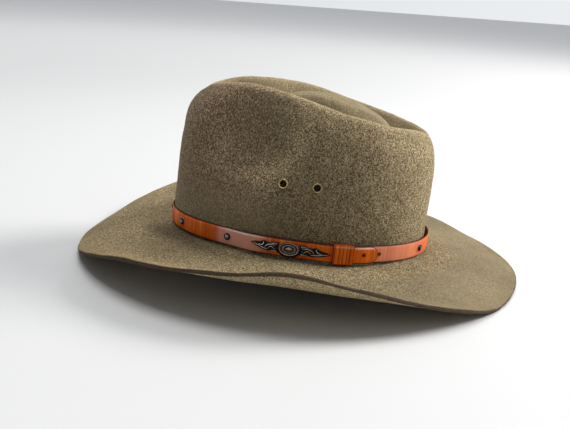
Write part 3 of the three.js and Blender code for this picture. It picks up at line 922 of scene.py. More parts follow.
@dataclass
class FeltBody:
    """Crown and brim in one hollow felt shell."""

    thickness: float = 2.7
    half_length: float = 103.6
    half_width: float = 84.8
    centre_y: float = -0.8
    break_drop: float = 1.6
    break_radius: float = 1.4
    brim_half_length: float = 106.0
    brim_half_width: float = 87.5
    edge_curl: float = 3.03
    edge_bulge: float = 0.4
    line_twice: float = -1.12
    line_thrice: float = -0.46
    island_height: float = 113.6
    island_y: float = 5.0
    fall_along: float = 0.0057
    fall_across: float = 0.006
    pinch_depth: float = 10.0
    pinch_y: float = -42.0
    pinch_height: float = 89.0
    pinch_spread_y: float = 35.0
    pinch_spread_z: float = 33.0
    pinch_edge: float = 3.0
    pinch_end: float = 14.0
    pinch_fade: float = 25.0
    columns: int = 384
    hole: float = 3.05
    drill_reach: float = 9.0
    drill_sides: int = 48
    probe: float = 0.004
    # Painted highlight along a fold below and behind the pinch.
    fold_ring: float = 1.03
    fold_width: float = 0.18
    fold_side: Fade = Fade(0.45, 1.1)
    rough_seed: int = 3
    rough_size: float = 9.0
    cut_rough: float = 0.10
    lump_waves: tuple[tuple[int, float, float], ...] = ((7, 46.0, 0.35), (11, 17.0, 0.12))
    inner_parts: int = 3
    wear: FeltWear = field(default_factory=FeltWear)

    @staticmethod
    def around(values: Sequence[float], angle: np.ndarray) -> np.ndarray:
        """Smooth value all the way round from one value every 15 degrees.

        Args:
            values: Values of a whole turn, from the front over the left.
            angle: Angles from the front, in radians.

        Returns:
            The values there.
        """
        knots = np.asarray(values, float)
        place = np.mod(angle, FULL_TURN) / FULL_TURN * len(knots)
        first = np.floor(place).astype(int)
        f = place - first
        p0, p1, p2, p3 = [knots[(first + k) % len(knots)] for k in (-1, 0, 1, 2)]
        rise = 2 * p0 - 5 * p1 + 4 * p2 - p3
        return 0.5 * (2 * p1 + (p2 - p0) * f + rise * f**2 + (3 * p1 - p0 - 3 * p2 + p3) * f**3)

    def brim_value(self, left: str, angle: np.ndarray, right: Optional[str] = None) -> np.ndarray:
        """Column of the brim's rows.

        Args:
            left: The column, on the left or on both sides.
            angle: Angles from the front, in radians.
            right: The column on the right, where it differs.

        Returns:
            Its values there.
        """
        there = [getattr(row, left) for row in BRIM_ROWS]
        back = [getattr(row, right or left) for row in BRIM_ROWS[-2:0:-1]]
        return self.around(there + back, angle)

    def crown_value(self, name: str, angle: np.ndarray) -> np.ndarray:
        """Column of the crown's rows. Only x changes sign on the right.

        Args:
            name: The column.
            angle: Angles from the front, in radians.

        Returns:
            Its values there.
        """
        sign = -1 if name == "x" else 1
        there = [getattr(row, name) for row in CROWN_ROWS]
        back = [sign * getattr(row, name) for row in CROWN_ROWS[-2:0:-1]]
        return self.around(there + back, angle)

    def line(self, angle: np.ndarray) -> np.ndarray:
        """Height of the band's lower edge."""
        return self.line_twice * np.cos(2 * angle) + self.line_thrice * np.cos(3 * angle)

    @staticmethod
    def oval(angle: np.ndarray, width: float, length: float) -> tuple[np.ndarray, np.ndarray]:
        """Points on an oval.

        Args:
            angle: Angles from the front, in radians.
            width: Half width.
            length: Half length.

        Returns:
            The points and the outward directions, both without height.
        """
        point = np.stack([width * np.sin(angle), -length * np.cos(angle)], -1)
        outward = np.stack([np.sin(angle) / width, -np.cos(angle) / length], -1)
        return point, outward / np.linalg.norm(outward, axis=-1, keepdims=True)

    def foot(self, angle: np.ndarray) -> tuple[np.ndarray, np.ndarray]:
        """Foot of the crown's wall and its outward directions."""
        point, outward = self.oval(angle, self.half_width, self.half_length)
        return point + np.array((0, self.centre_y)), outward

    def top_point(self, angle: np.ndarray, share: float) -> np.ndarray:
        """Crown top, from its middle at share 0 to the rim at share 1.

        Args:
            angle: Angles from the front, in radians.
            share: Share of the way.

        Returns:
            The points.
        """
        rim_x, rim_y, rim_z = [self.crown_value(name, angle) for name in ("x", "y", "z")]
        x = rim_x * share
        y = self.island_y + (rim_y - self.island_y) * share
        island = self.island_height - self.fall_along * (y - self.island_y) ** 2
        island = island - self.fall_across * x**2
        start = self.crown_value("island", angle)
        way = np.clip((share - start) / (1 - start), 0, 1)
        blend = way * way * (3 - 2 * way)
        crease = self.crown_value("crease", angle) * np.sin(math.pi * way) ** 2
        return np.stack([x, y, island * (1 - blend) + rim_z * blend - crease], -1)

    def dent(self, x: np.ndarray, y: np.ndarray, z: np.ndarray) -> np.ndarray:
        """Share of the pinch's depth at a place.

        Args:
            x: Place across.
            y: Place along.
            z: Height.

        Returns:
            The share, from 0 to 1.
        """
        beside = (y - self.pinch_y) / self.pinch_spread_y
        above = (z - self.pinch_height) / self.pinch_spread_z
        side = np.clip(np.abs(x) / self.pinch_fade, 0, 1)
        return side * np.exp(-(np.hypot(beside, above) ** self.pinch_edge))

    def fold_highlight(self, y: np.ndarray, z: np.ndarray) -> np.ndarray:
        """Share of the painted highlight along a fold that runs below and behind the pinch.

        Args:
            y: Place along.
            z: Height.

        Returns:
            The share, from 0 to 1.
        """
        beside = (y - self.pinch_y) / self.pinch_spread_y
        above = (z - self.pinch_height) / self.pinch_spread_z
        away = np.hypot(beside, above) - self.fold_ring
        ring = np.exp(-((away / self.fold_width) ** 2))
        return ring * self.fold_side.of(beside - above)

    def wall_point(self, angle: np.ndarray, share: float) -> np.ndarray:
        """Crown wall, from the band line at share 0 to the rim at share 1.

        Args:
            angle: Angles from the front, in radians.
            share: Share of the way.

        Returns:
            The points.
        """
        foot = self.foot(angle)[0]
        low = self.line(angle)
        lean, turn = self.crown_value("lean", angle), self.crown_value("turn", angle)
        inset = lean * share**2 + (1 - lean) * share**turn
        x = foot[..., 0] + (self.crown_value("x", angle) - foot[..., 0]) * inset
        y = foot[..., 1] + (self.crown_value("y", angle) - foot[..., 1]) * inset
        z = low + (self.crown_value("z", angle) - low) * share
        near = self.dent(x, y, z) * (1 - share**self.pinch_end)
        x = x - self.pinch_depth * near * np.sign(x)
        return np.stack([x, y, z], -1)

    def break_point(self, angle: np.ndarray, share: float) -> np.ndarray:
        """Tight turn from the wall into the brim.

        Args:
            angle: Angles from the front, in radians.
            share: Share of the way.

        Returns:
            The points.
        """
        point, outward = self.foot(angle)
        turn = share * math.pi / 2
        flat = point + outward * self.break_radius * (1 - math.cos(turn))
        top = self.line(angle) - self.break_drop + self.break_radius
        return np.concatenate([flat, (top - self.break_radius * math.sin(turn))[..., None]], -1)

    def brim_point(self, angle: np.ndarray, share: float) -> np.ndarray:
        """Brim, from the break at share 0 to its edge at share 1.

        Args:
            angle: Angles from the front, in radians.
            share: Share of the way.

        Returns:
            The points.
        """
        start = self.break_point(angle, 1)
        edge, outward = self.oval(angle, self.brim_half_width, self.brim_half_length)
        edge = edge + outward * self.brim_value("reach", angle)[..., None]
        fall = self.brim_value("fall", angle)
        height = self.brim_value("left", angle, "right")
        rise = fall * share + (height - fall) * share**self.edge_curl
        z = self.line(angle) + rise - self.break_drop * (1 - share)
        flat = start[..., :2] + (edge - start[..., :2]) * share
        return np.concatenate([flat, z[..., None]], -1)

    def surface_at(self, angle: float, share: float) -> tuple[np.ndarray, np.ndarray]:
        """Place on the wall.

        Args:
            angle: Angle from the front, in radians.
            share: Share of the wall's height.

        Returns:
            The point and its outward direction.
        """
        angles = np.array([angle])
        lower, upper = share - self.probe, share + self.probe
        along = self.wall_point(angles, lower) - self.wall_point(angles, upper)
        forth, back = np.array([angle + self.probe]), np.array([angle - self.probe])
        round_ = self.wall_point(forth, share) - self.wall_point(back, share)
        outward = np.cross(along, round_)[0]
        return self.wall_point(angles, share)[0], outward / np.linalg.norm(outward)

    @staticmethod
    def normals(rings: np.ndarray) -> np.ndarray:
        """Outward directions of a grid of rings.

        Args:
            rings: Rings by points by three.

        Returns:
            A direction for each point.
        """
        along = np.gradient(rings, axis=0)
        round_ = np.roll(rings, -1, axis=1) - np.roll(rings, 1, axis=1)
        outward = np.cross(along, round_)
        return outward / np.linalg.norm(outward, axis=2, keepdims=True)

    @staticmethod
    def lumps(points: np.ndarray, seed: int, size: float, count: int = 14) -> np.ndarray:
        """Soft unevenness between about -1 and 1.

        Args:
            points: Where it is wanted.
            seed: Start of the random draws.
            size: Mean wavelength in millimetres.
            count: Waves that are summed.

        Returns:
            The unevenness at each point.
        """
        draw = np.random.default_rng(seed)
        total = np.zeros(points.shape[:-1])
        for _ in range(count):
            way = draw.normal(size=3)
            way *= FULL_TURN / (size * draw.uniform(0.6, 1.6)) / np.linalg.norm(way)
            total += np.sin(points @ way + draw.uniform(0, FULL_TURN))
        return total / math.sqrt(count)

    def outer_rows(self) -> tuple[list[tuple[Callable, float, int]], int]:
        """Rows of the outer face, from the crown's middle to the brim's edge.

        Returns:
            For each the method that makes it, its share and the rings up to the next row, and the
            number of the ring on the crown's rim.
        """
        rows = [(self.top_point, s, 1) for s in np.linspace(0.03, 0.87, 29)]
        rows += [(self.top_point, 0.92, 4)]
        rim = sum(parts for _, _, parts in rows)
        rows += [(self.top_point, 1.0, 4), (self.wall_point, 0.965, 3)]
        rows += [(self.wall_point, s, 1) for s in np.linspace(0.93, 0.74, 9)]
        rows += [(self.wall_point, s, 1) for s in np.linspace(0.715, 0.03, 26)]
        rows += [(self.break_point, s, 1) for s in (0, 0.25, 0.5, 0.75, 1)]
        rows += [(self.brim_point, s, 1) for s in np.linspace(0.03, 0.985, 40)]
        rows += [(self.brim_point, 1.0, 1)]
        return rows, rim

    def outer_layers(self, outer: np.ndarray, rim: int) -> dict[str, np.ndarray]:
        """Where the outer face gets painted shade or painted light, or is brushed smooth.

        Args:
            outer: Rings of the outer face in the band's frame.
            rim: Number of the ring on the crown's rim.

        Returns:
            The layers by name, one value at each point.
        """
        steps = np.linalg.norm(np.diff(outer, axis=0), axis=2)
        below = np.concatenate([np.zeros((1, self.columns)), np.cumsum(steps, axis=0)])
        below -= below[rim]
        x, y, z = np.moveaxis(outer, -1, 0)
        wear = self.wear
        wall = wear.wall.of(below)
        # Painted highlight along the rim crest.
        crest = wear.crest_start.of(below) * (1 - wear.crest_end.of(below))
        wide, long = wear.brim_oval
        brim = wear.brim_fall.of(-z) * wear.brim_start.of(np.hypot(x / wide, y / long))
        beyond = (np.hypot(x / self.half_width, y / self.half_length) - 1) * wear.reach
        left = wear.left.of(x)
        shadow = (1 - wear.shadow_reach.of(beyond)) * left
        shadow = shadow * wear.shadow_front.of(-y) * wear.shadow_low.of(-z)
        # Painted shade under the rim crest, in the pinch and on the brim, plus the painted cast
        # shadow.
        under_rim = np.exp(-(((below - wear.under_crest_at) / wear.under_crest_width) ** 2))
        painted_shade = self.dent(x, y, z) * wall * wear.dent + wear.under_crest_shade * under_rim
        dark, dark_back = wear.brim_dark
        painted_shade = painted_shade + brim * (dark + dark_back * wear.brim_back.of(y)) + shadow * wear.shadow
        # Painted light on the fold, the crest, the brim's front left tip and the back of the wall.
        rubbed_and_painted_light = self.fold_highlight(y, z) * wall + crest
        pale, pale_left = wear.brim_pale
        rubbed_and_painted_light = rubbed_and_painted_light + brim * (pale + pale_left * left) * wear.brim_tip.of(-y)
        rubbed_and_painted_light = rubbed_and_painted_light + wall * wear.painted_light_back * wear.wall_back.of(y) * wear.wall_foot.of(z)
        smooth = wear.smooth_top * (1 - wear.top_end.of(below))
        smooth = np.maximum(smooth, wear.smooth_brim * brim * wear.brim_end.of(y))
        low = wear.low_start.of(z) * (1 - wear.low_end.of(z))
        smooth = np.maximum(smooth, wear.smooth_low * low * wear.low_front.of(-y))
        return {"painted_shade": painted_shade, "rubbed_and_painted_light": rubbed_and_painted_light, "smooth": smooth}

    def shell(self) -> Shell:
        """The hollow shell as the hat rests.

        Returns:
            The shell in the row's frame, still in millimetres.
        """
        angle = np.arange(self.columns) / self.columns * FULL_TURN
        rows, rim = self.outer_rows()
        control = np.array([made(angle, s) for made, s, _ in rows])
        outer = spline_rings(control, [parts for _, _, parts in rows[:-1]])
        normal = self.normals(outer)
        waves = self.lump_waves
        soft = sum(self.lumps(outer, seed, size) * depth for seed, size, depth in waves)
        outer = outer + normal * soft[..., None]
        top, bottom = REST.laid(outer), REST.laid(self.inner_rings(angle))
        under = REST.laid(outer - normal * self.thickness)
        top[..., 2] += np.maximum(0, -under[..., 2])
        bottom[..., 2] = np.maximum(0, bottom[..., 2])
        edge = self.edge_rings(top[-1], bottom[-1], top[-3])
        edge[..., 2] = np.maximum(edge[..., 2], 0)
        rings = np.concatenate([top, edge, bottom[::-1]])
        made = loft(rings, caps=False)
        pole = REST.laid(np.array([self.top_point(np.zeros(1), 0.0)[0]]))
        low_pole = bottom[0].mean(0)
        first, sides = len(made.points), self.columns
        made.faces += [(first, i, (i + 1) % sides) for i in range(sides)]
        last = first - sides
        made.faces += [(first + 1, last + (i + 1) % sides, last + i) for i in range(sides)]
        made.points = np.concatenate([made.points, pole, [low_pole]])
        rest = np.ones((len(rings) - len(top), sides))
        layers = {
            name: np.concatenate([values, self.wear.inside[name] * rest])
            for name, values in self.outer_layers(outer, rim).items()
        }
        layers.update(self.edge_layers(rings, len(top), len(edge)))
        made.layers = {name: np.append(values.ravel(), (0, 0)) for name, values in layers.items()}
        return made

    def edge_layers(self, rings: np.ndarray, top: int, edge: int) -> dict[str, np.ndarray]:
        """Where the felt shows its cut edge, is worn near it, or is browner.

        Args:
            rings: All rings of the shell as it rests.
            top: How many of them make the outer face.
            edge: How many make the cut edge.

        Returns:
            The layers by name, one value at each point.
        """
        cut = np.zeros(rings.shape[:2])
        cut[top : top + edge] = 1
        cut[top - 1] = self.wear.cut_above
        cut[top + edge] = self.wear.cut_below
        worn = np.zeros(rings.shape[:2])
        rows = self.wear.worn_rows
        worn[top - rows - 1 : top - 1] = np.linspace(0, 1, rows)[:, None]
        tan = self.wear.tan_front.of(-rings[..., 1]) * self.wear.tan_height.of(rings[..., 2])
        return {"cut": cut, "worn": worn, "tan": tan}

    def inner_rings(self, angle: np.ndarray) -> np.ndarray:
        """Rings of the inside, from the crown's middle to the brim's edge.

        Args:
            angle: Angles from the front, in radians.

        Returns:
            The rings.
        """
        rows = [(self.top_point, s) for s in (0.16, 0.32, 0.46, 0.59, 0.71, 0.8, 1.0)]
        rows += [(self.wall_point, s) for s in (0.895, 0.8, 0.72, 0.58, 0.42, 0.24, 0.08)]
        rows += [(self.break_point, s) for s in (0, 0.5, 1)]
        rows += [(self.brim_point, s) for s in (0.08, 0.2, 0.34, 0.48, 0.62, 0.76, 0.88, 0.95, 1)]
        rings = np.array([made(angle, s) for made, s in rows])
        inside = rings - self.normals(rings) * self.thickness
        return spline_rings(inside, [self.inner_parts] * (len(rows) - 1))

    def edge_rings(self, top: np.ndarray, bottom: np.ndarray, before: np.ndarray) -> np.ndarray:
        """Rows of the cut edge, slightly rounded and uneven.

        Args:
            top: Last ring of the upper face.
            bottom: Last ring of the lower face.
            before: A ring of the upper face a little further in.

        Returns:
            The rows from top to bottom.
        """
        out = top - before
        out /= np.linalg.norm(out, axis=1, keepdims=True)
        rows = []
        for share, bulge in CUT_ROWS:
            row = top + (bottom - top) * share
            rough = self.lumps(row, self.rough_seed, self.rough_size) * self.cut_rough
            rows.append(row + out * (self.edge_bulge * bulge + rough)[:, None])
        return np.array(rows)

    def build(self, material: bpy.types.Material) -> bpy.types.Object:
        """Makes the felt and cuts the eyelets' holes.

        Args:
            material: The felt.

        Returns:
            The object.
        """
        felt = self.shell().piece("felt_shell", material, sharp=60.0, laid=False)
        drills = []
        for eyelet in EYELETS:
            point, outward = self.surface_at(math.radians(eyelet.angle), eyelet.height)
            ends = [(1, -self.drill_reach), (1, self.drill_reach)]
            drill = turned(ends, self.drill_sides, (self.hole, self.hole))
            drills.append(seated(drill, point, outward))
        return bore(felt, drills)


def seated(
    shell: Shell, point: np.ndarray, outward: np.ndarray, along: Optional[np.ndarray] = None
) -> Shell:
    """Shell moved from its own frame to a place, with local Z outward.

    Args:
        shell: The shell.
        point: Where its origin goes.
        outward: Direction of its local Z.
        along: Direction of its local X, or any.

    Returns:
        The moved shell.
    """
    if along is None:
        along = np.cross((0.0, 0.0, 1.0), outward)
    along = along / np.linalg.norm(along)
    basis = np.stack([along, np.cross(outward, along), outward])
    return Shell(shell.points @ basis + point, shell.faces, shell.layers, shell.flat)


def merged(shells: Sequence[Shell]) -> Shell:
    """Several shells in one mesh, each facing out.

    Args:
        shells: The shells.

    Returns:
        One shell with all their points and faces.
    """
    points, faces, first = [], [], 0
    for shell in shells:
        flip = shell.volume() < 0
        for face in shell.faces:
            moved = tuple(first + i for i in face)
            faces.append(tuple(reversed(moved)) if flip else moved)
        points.append(shell.points)
        first += len(shell.points)
    return Shell(np.concatenate(points), faces)


def bore(piece: bpy.types.Object, drills: Sequence[Shell]) -> bpy.types.Object:
    """Cuts holes into a piece.

    Args:
        piece: The piece.
        drills: What is cut out of it, not yet laid as the hat rests.

    Returns:
        The piece with its holes.
    """
    cutter = merged(drills).piece("drills", piece.data.materials[0])
    modifier = piece.modifiers.new("holes", "BOOLEAN")
    modifier.operation = "DIFFERENCE"
    modifier.solver = "EXACT"
    modifier.object = cutter
    graph = bpy.context.evaluated_depsgraph_get()
    bored = bpy.data.meshes.new_from_object(piece.evaluated_get(graph))
    piece.modifiers.clear()
    piece.data = bored
    piece.data.name = piece.name
    bpy.data.objects.remove(cutter)
    return piece


# Band


@dataclass
class BandPath:
    """Oval path of the band and what lies on it. Lengths along it start at the front middle."""

    half_length: float = 104.9
    half_width: float = 85.2
    width: float = 13.3
    thickness: float = 1.4
    gap: float = 0.3
    inner_end: float = 116.0
    tip_end: float = 212.5
    ramp_start: float = 98.0
    ramp_end: float = 115.0
    lap_clear: float = 1.0
    keeper_start: float = 176.4
    keeper_length: float = 15.2
    keeper_rise: float = 1.1
    rise_reach: float = 4.0
    rise_ramp: float = 12.0
    samples: int = 7201
    felt: FeltBody = field(default_factory=FeltBody)

    def __post_init__(self) -> None:
        """Measures the path."""
        self._angles = np.linspace(0, FULL_TURN, self.samples)
        points = FeltBody.oval(self._angles, self.half_width, self.half_length)[0]
        steps = np.linalg.norm(np.diff(points, axis=0), axis=1)
        self._lengths = np.concatenate([[0], np.cumsum(steps)])
        self.length = float(self._lengths[-1])

    def angle(self, along: np.ndarray) -> np.ndarray:
        """Angle from the front at a length along the band."""
        return np.interp(np.mod(along, self.length), self._lengths, self._angles)

    def frame(self, along: float) -> tuple[np.ndarray, np.ndarray, np.ndarray]:
        """Place on the band.

        Args:
            along: Length along the band.

        Returns:
            Point on the inner face's lower edge, direction along the band and outward direction.
        """
        angle = self.angle(np.array([along]))
        point, outward = FeltBody.oval(angle, self.half_width, self.half_length)
        foot = np.array((*point[0], self.felt.line(angle)[0]))
        out = np.array((*outward[0], 0.0))
        return foot, np.cross((0.0, 0.0, 1.0), out), out

    def on(self, along: np.ndarray, height: np.ndarray, out: np.ndarray) -> np.ndarray:
        """Points on the band.

        Args:
            along: Length along the band.
            height: Height above its lower edge.
            out: Distance outward from its inner face.

        Returns:
            The points.
        """
        angle = self.angle(np.asarray(along, float))
        point, outward = FeltBody.oval(angle, self.half_width, self.half_length)
        flat = point + outward * np.asarray(out, float)[..., None]
        return np.concatenate([flat, (self.felt.line(angle) + height)[..., None]], -1)

    def under_keeper(self, along: np.ndarray) -> np.ndarray:
        """How far the keeper's back pushes the layers out.

        Args:
            along: Lengths along the band.

        Returns:
            The distances.
        """
        start = self.keeper_start - self.rise_reach
        end = self.keeper_start + self.keeper_length + self.rise_reach
        up = smoothstep(along, start - self.rise_ramp, start)
        return self.keeper_rise * up * (1 - smoothstep(along, end, end + self.rise_ramp))

    def top_layer(self, along: np.ndarray) -> np.ndarray:
        """Inner face of the strap's top layer.

        Args:
            along: Lengths along the band.

        Returns:
            Its distances from the band's own face.
        """
        place = np.mod(along, self.length)
        lapped = smoothstep(place, self.ramp_start, self.ramp_end)
        lapped = np.where(place < self.tip_end + self.lap_clear, lapped, 0)
        return lapped * (self.thickness + self.gap) + self.under_keeper(place)


@dataclass
class StrapSection:
    """Rounded section of a flat strip: out and height of each corner point."""

    low: float
    high: float
    inside: float
    outside: float
    radius: float
    crown: float = 0.0
    crown_power: int = 6
    corner: int = 5
    face: int = 32
    slack: float = 2.2

    def points(self) -> np.ndarray:
        """Points round the section.

        Returns:
            Pairs of out and height.
        """
        tall, thick = self.high - self.low, self.outside - self.inside
        r = min(self.radius, tall / self.slack, thick / self.slack)
        centres = (
            (self.outside - r, self.low + r, -90.0),
            (self.outside - r, self.high - r, 0.0),
            (self.inside + r, self.high - r, 90.0),
            (self.inside + r, self.low + r, 180.0),
        )
        ring: list[tuple[float, float]] = []
        for out, height, start in centres:
            for k in range(self.corner + 1):
                turn = math.radians(start + 90 * k / self.corner)
                ring.append((out + r * math.cos(turn), height + r * math.sin(turn)))
        full: list[tuple[float, float]] = []
        for i, (a, b) in enumerate(zip(ring, ring[1:] + ring[:1])):
            full.append(a)
            if (i + 1) % (self.corner + 1) == 0 and (i + 1) // (self.corner + 1) in (1, 3):
                for k in range(1, self.face):
                    share = k / self.face
                    full.append((a[0] + (b[0] - a[0]) * share, a[1] + (b[1] - a[1]) * share))
        made = np.array(full)
        beside = (2 * made[:, 1] - self.low - self.high) / (self.high - self.low)
        outer = made[:, 0] > (self.inside + self.outside) / 2
        made[:, 0] -= outer * self.crown * beside**self.crown_power
        return made


@dataclass(frozen=True)
class StrapWear:
    """Where the strap gets painted shade, painted reflections and a painted highlight line, and how
    strongly.
    """

    # Painted shade round the front, the right side and the back.
    dark: float = 0.36
    dark_front: Fade = Fade(5, 35)
    dark_right: Fade = Fade(285, 330)
    # Painted shadow under the oval, and painted shade in and round the holes.
    oval_half: tuple[float, float] = (7.9, 5.2)
    oval_drop: float = 1.5
    oval_shadow: Fade = Fade(1.0, 1.12)
    tip_hole_shade: Fade = Fade(1.5, 1.85)
    through_hole_shade: Fade = Fade(1.5, 1.7)
    under_hole_shade: Fade = Fade(1.45, 1.75)
    under_share: float = 0.8
    # Painted reflection before the ornament and on the lower layer beyond the tip.
    reflection_from: Fade = Fade(84, 93)
    reflection_to: Fade = Fade(116, 134)
    reflection_front: float = 1.3
    reflection_beyond: float = 0.7
    beyond_end: Fade = Fade(235, 285)
    # Painted highlight line on the upper shoulder, before the ornament and on the tip, with a paler
    # wash before the ornament.
    line_from: Fade = Fade(0.2, 0.6)
    line_to: Fade = Fade(1.5, 2.3)
    highlight_from: Fade = Fade(88, 98)
    highlight_to: Fade = Fade(120, 130)
    highlight_tip: Fade = Fade(192, 194)
    tip_share: float = 0.9
    front_share: float = 0.2
    burnish_from: float = 1.0
    burnish_to: float = 0.3
    back_part: float = 0.45
    back_share: float = 0.6


TIP_DEGREES = (6, 12, 18, 24, 30, 36, 42, 48, 54, 60, 66, 72, 77, 81, 84, 87)


@dataclass
class Strap:
    """The lapped leather strap."""

    path: BandPath
    step: float = 2.0
    edge_radius: float = 0.6
    crown: float = 0.5
    hole_radius: float = 1.3
    punch_sides: int = 32
    tip_hole: float = 200.2
    under_hole: float = 214.4
    oval_at: float = 145.0
    fine_reach: float = 1.8
    fine_reach_top: float = 2.0
    fine_step: float = 0.2
    oval_reach: float = 9.0
    oval_step: float = 0.5
    wear: StrapWear = field(default_factory=StrapWear)

    def build(self, material: bpy.types.Material) -> bpy.types.Object:
        """Makes the strap with its two punched holes.

        Args:
            material: The leather.

        Returns:
            The object.
        """
        path = self.path
        middle = path.width / 2
        lap_end = path.length + path.tip_end
        body_end = lap_end - middle
        stations = [(a, middle) for a in self.places(body_end)]
        for degrees in TIP_DEGREES:
            turn = math.radians(degrees)
            stations.append((body_end + middle * math.sin(turn), middle * math.cos(turn)))
        rings, flats, edges = [], [], []
        for along, half in stations:
            layer = path.under_keeper(along) if along < path.length else path.top_layer(along)
            section = StrapSection(
                middle - half,
                middle + half,
                float(layer),
                float(layer) + path.thickness,
                self.edge_radius,
                self.crown * half / middle,
            ).points()
            places = np.full(len(section), along)
            rings.append(path.on(places, section[:, 1], section[:, 0]))
            flats.append(np.stack([places, section[:, 1]], 1))
            beyond = max(along - body_end, 0.0)
            share = self.edge_share(section, beyond, float(layer))
            # Painted shade round the holes, painted shadow under the oval and painted shade on the
            # darkened arcs, added to the burnish.
            share = np.maximum(share, self.hole_and_oval_shade(along, section))
            edges.append(np.maximum(share, self.darkened(along)))
        made = loft(np.array(rings))
        made.flat = np.concatenate(flats)
        made.layers["edge"] = np.concatenate(edges)
        # Painted reflection and painted highlight line.
        made.layers["rubbed_and_painted_light"] = self.painted_reflection_share(made.flat[:, 0])
        made.layers["painted_highlight"] = self.painted_highlight_share(*made.flat.T)
        strap = made.piece("leather_strap", material, sharp=50.0)
        punches = [
            self.punch(self.tip_hole, path.top_layer(self.tip_hole)),
            self.punch(self.under_hole, path.under_keeper(self.under_hole)),
        ]
        return bore(strap, punches)

    def punch(self, along: float, layer: float) -> Shell:
        """What is cut out for a punched hole.

        Args:
            along: Where the hole is.
            layer: Where the inner face of its layer lies.

        Returns:
            The cutter, seated on the band.
        """
        path = self.path
        foot, forward, out = path.frame(along)
        half_punch = (path.thickness + path.gap) / 2
        centre = foot + out * (float(layer) + path.thickness / 2)
        ends = [(1, -half_punch), (1, half_punch)]
        punch = turned(ends, self.punch_sides, (self.hole_radius,) * 2)
        return seated(punch, centre + np.array((0, 0, path.width / 2)), out, forward)

    def places(self, end: float) -> np.ndarray:
        """Stations along the strap, closer at its holes and its ornament.

        Args:
            end: Where its straight part ends.

        Returns:
            Lengths along the strap.
        """
        path = self.path
        evenly = np.linspace(path.inner_end, end, int((end - path.inner_end) / self.step))
        near, top = self.fine_reach, self.fine_reach_top
        step = self.fine_step
        oval_from, oval_to = self.oval_at - self.oval_reach, self.oval_at + self.oval_reach
        fine = [
            np.arange(self.tip_hole - near, self.tip_hole + near, step),
            np.arange(self.under_hole - near, self.under_hole + near, step),
            path.length + np.arange(self.tip_hole - top, self.tip_hole + top, step),
            path.length + np.arange(oval_from, oval_to, self.oval_step),
        ]
        return np.unique(np.round(np.concatenate([evenly, *fine]), 3))

    def darkened(self, along: float) -> float:
        """How much painted shade darkens the leather round the front, the right side and the back.

        Args:
            along: Length along the strap.

        Returns:
            The share of painted shade, mixed in like burnish.
        """
        place = along % self.path.length
        share = 1 - self.wear.dark_front.of(place) + self.wear.dark_right.of(place)
        return self.wear.dark * float(share)

    def hole_and_oval_shade(self, along: float, section: np.ndarray) -> np.ndarray:
        """Painted shade in and round the holes and painted shadow under the oval.

        Args:
            along: Length along the strap.
            section: Points of the section there, as out and height.

        Returns:
            The share at each point, from 0 to 1.
        """
        above = section[:, 1] - self.path.width / 2
        top = self.path.length
        wear = self.wear
        if along > top:
            beside = (along - top - self.oval_at) / wear.oval_half[0]
            oval = np.hypot(beside, (above + wear.oval_drop) / wear.oval_half[1])
            tip = np.hypot(along - top - self.tip_hole, above)
            return np.maximum(1 - wear.oval_shadow.of(oval), 1 - wear.tip_hole_shade.of(tip))
        tip = np.hypot(along - self.tip_hole, above)
        under = np.hypot(along - self.under_hole, above)
        dark = (1 - wear.under_hole_shade.of(under)) * wear.under_share
        return np.maximum(1 - wear.through_hole_shade.of(tip), dark)

    def painted_reflection_share(self, along: np.ndarray) -> np.ndarray:
        """Share of painted reflection: before the ornament and beyond the tip.

        Args:
            along: Lengths along the strap.

        Returns:
            The share at each.
        """
        lapped = along - self.path.length
        wear = self.wear
        front = wear.reflection_from.of(lapped) * (1 - wear.reflection_to.of(lapped))
        beyond = (along < self.path.length) * wear.reflection_beyond * (1 - wear.beyond_end.of(along))
        return front * wear.reflection_front + beyond

    def painted_highlight_share(self, along: np.ndarray, height: np.ndarray) -> np.ndarray:
        """Share of the painted highlight line on the top layer's upper shoulder, with a paler wash
        before the ornament.

        Args:
            along: Lengths along the strap.
            height: Heights on it.

        Returns:
            The share at each.
        """
        under = self.path.width - height
        wear = self.wear
        line = wear.line_from.of(under) * (1 - wear.line_to.of(under))
        lapped = along - self.path.length
        front = wear.highlight_from.of(lapped) * (1 - wear.highlight_to.of(lapped))
        tip = wear.highlight_tip.of(lapped) * wear.tip_share
        return line * (front + tip) + front * wear.front_share

    def edge_share(self, section: np.ndarray, beyond: float, inside: float) -> np.ndarray:
        """Share of burnish at each point of a section, from 0 to 1.

        Args:
            section: Its points, as out and height.
            beyond: How far it lies beyond the middle of the round tip.
            inside: Where its inner face lies.

        Returns:
            1 on the cut edges, less on the back and 0 on the face.
        """
        middle = self.path.width / 2
        near = np.hypot(section[:, 1] - middle, beyond)
        wear = self.wear
        share = smoothstep(near, middle - wear.burnish_from, middle - wear.burnish_to)
        back = section[:, 0] < inside + self.path.thickness * wear.back_part
        return np.where(back, np.maximum(share, wear.back_share), share)


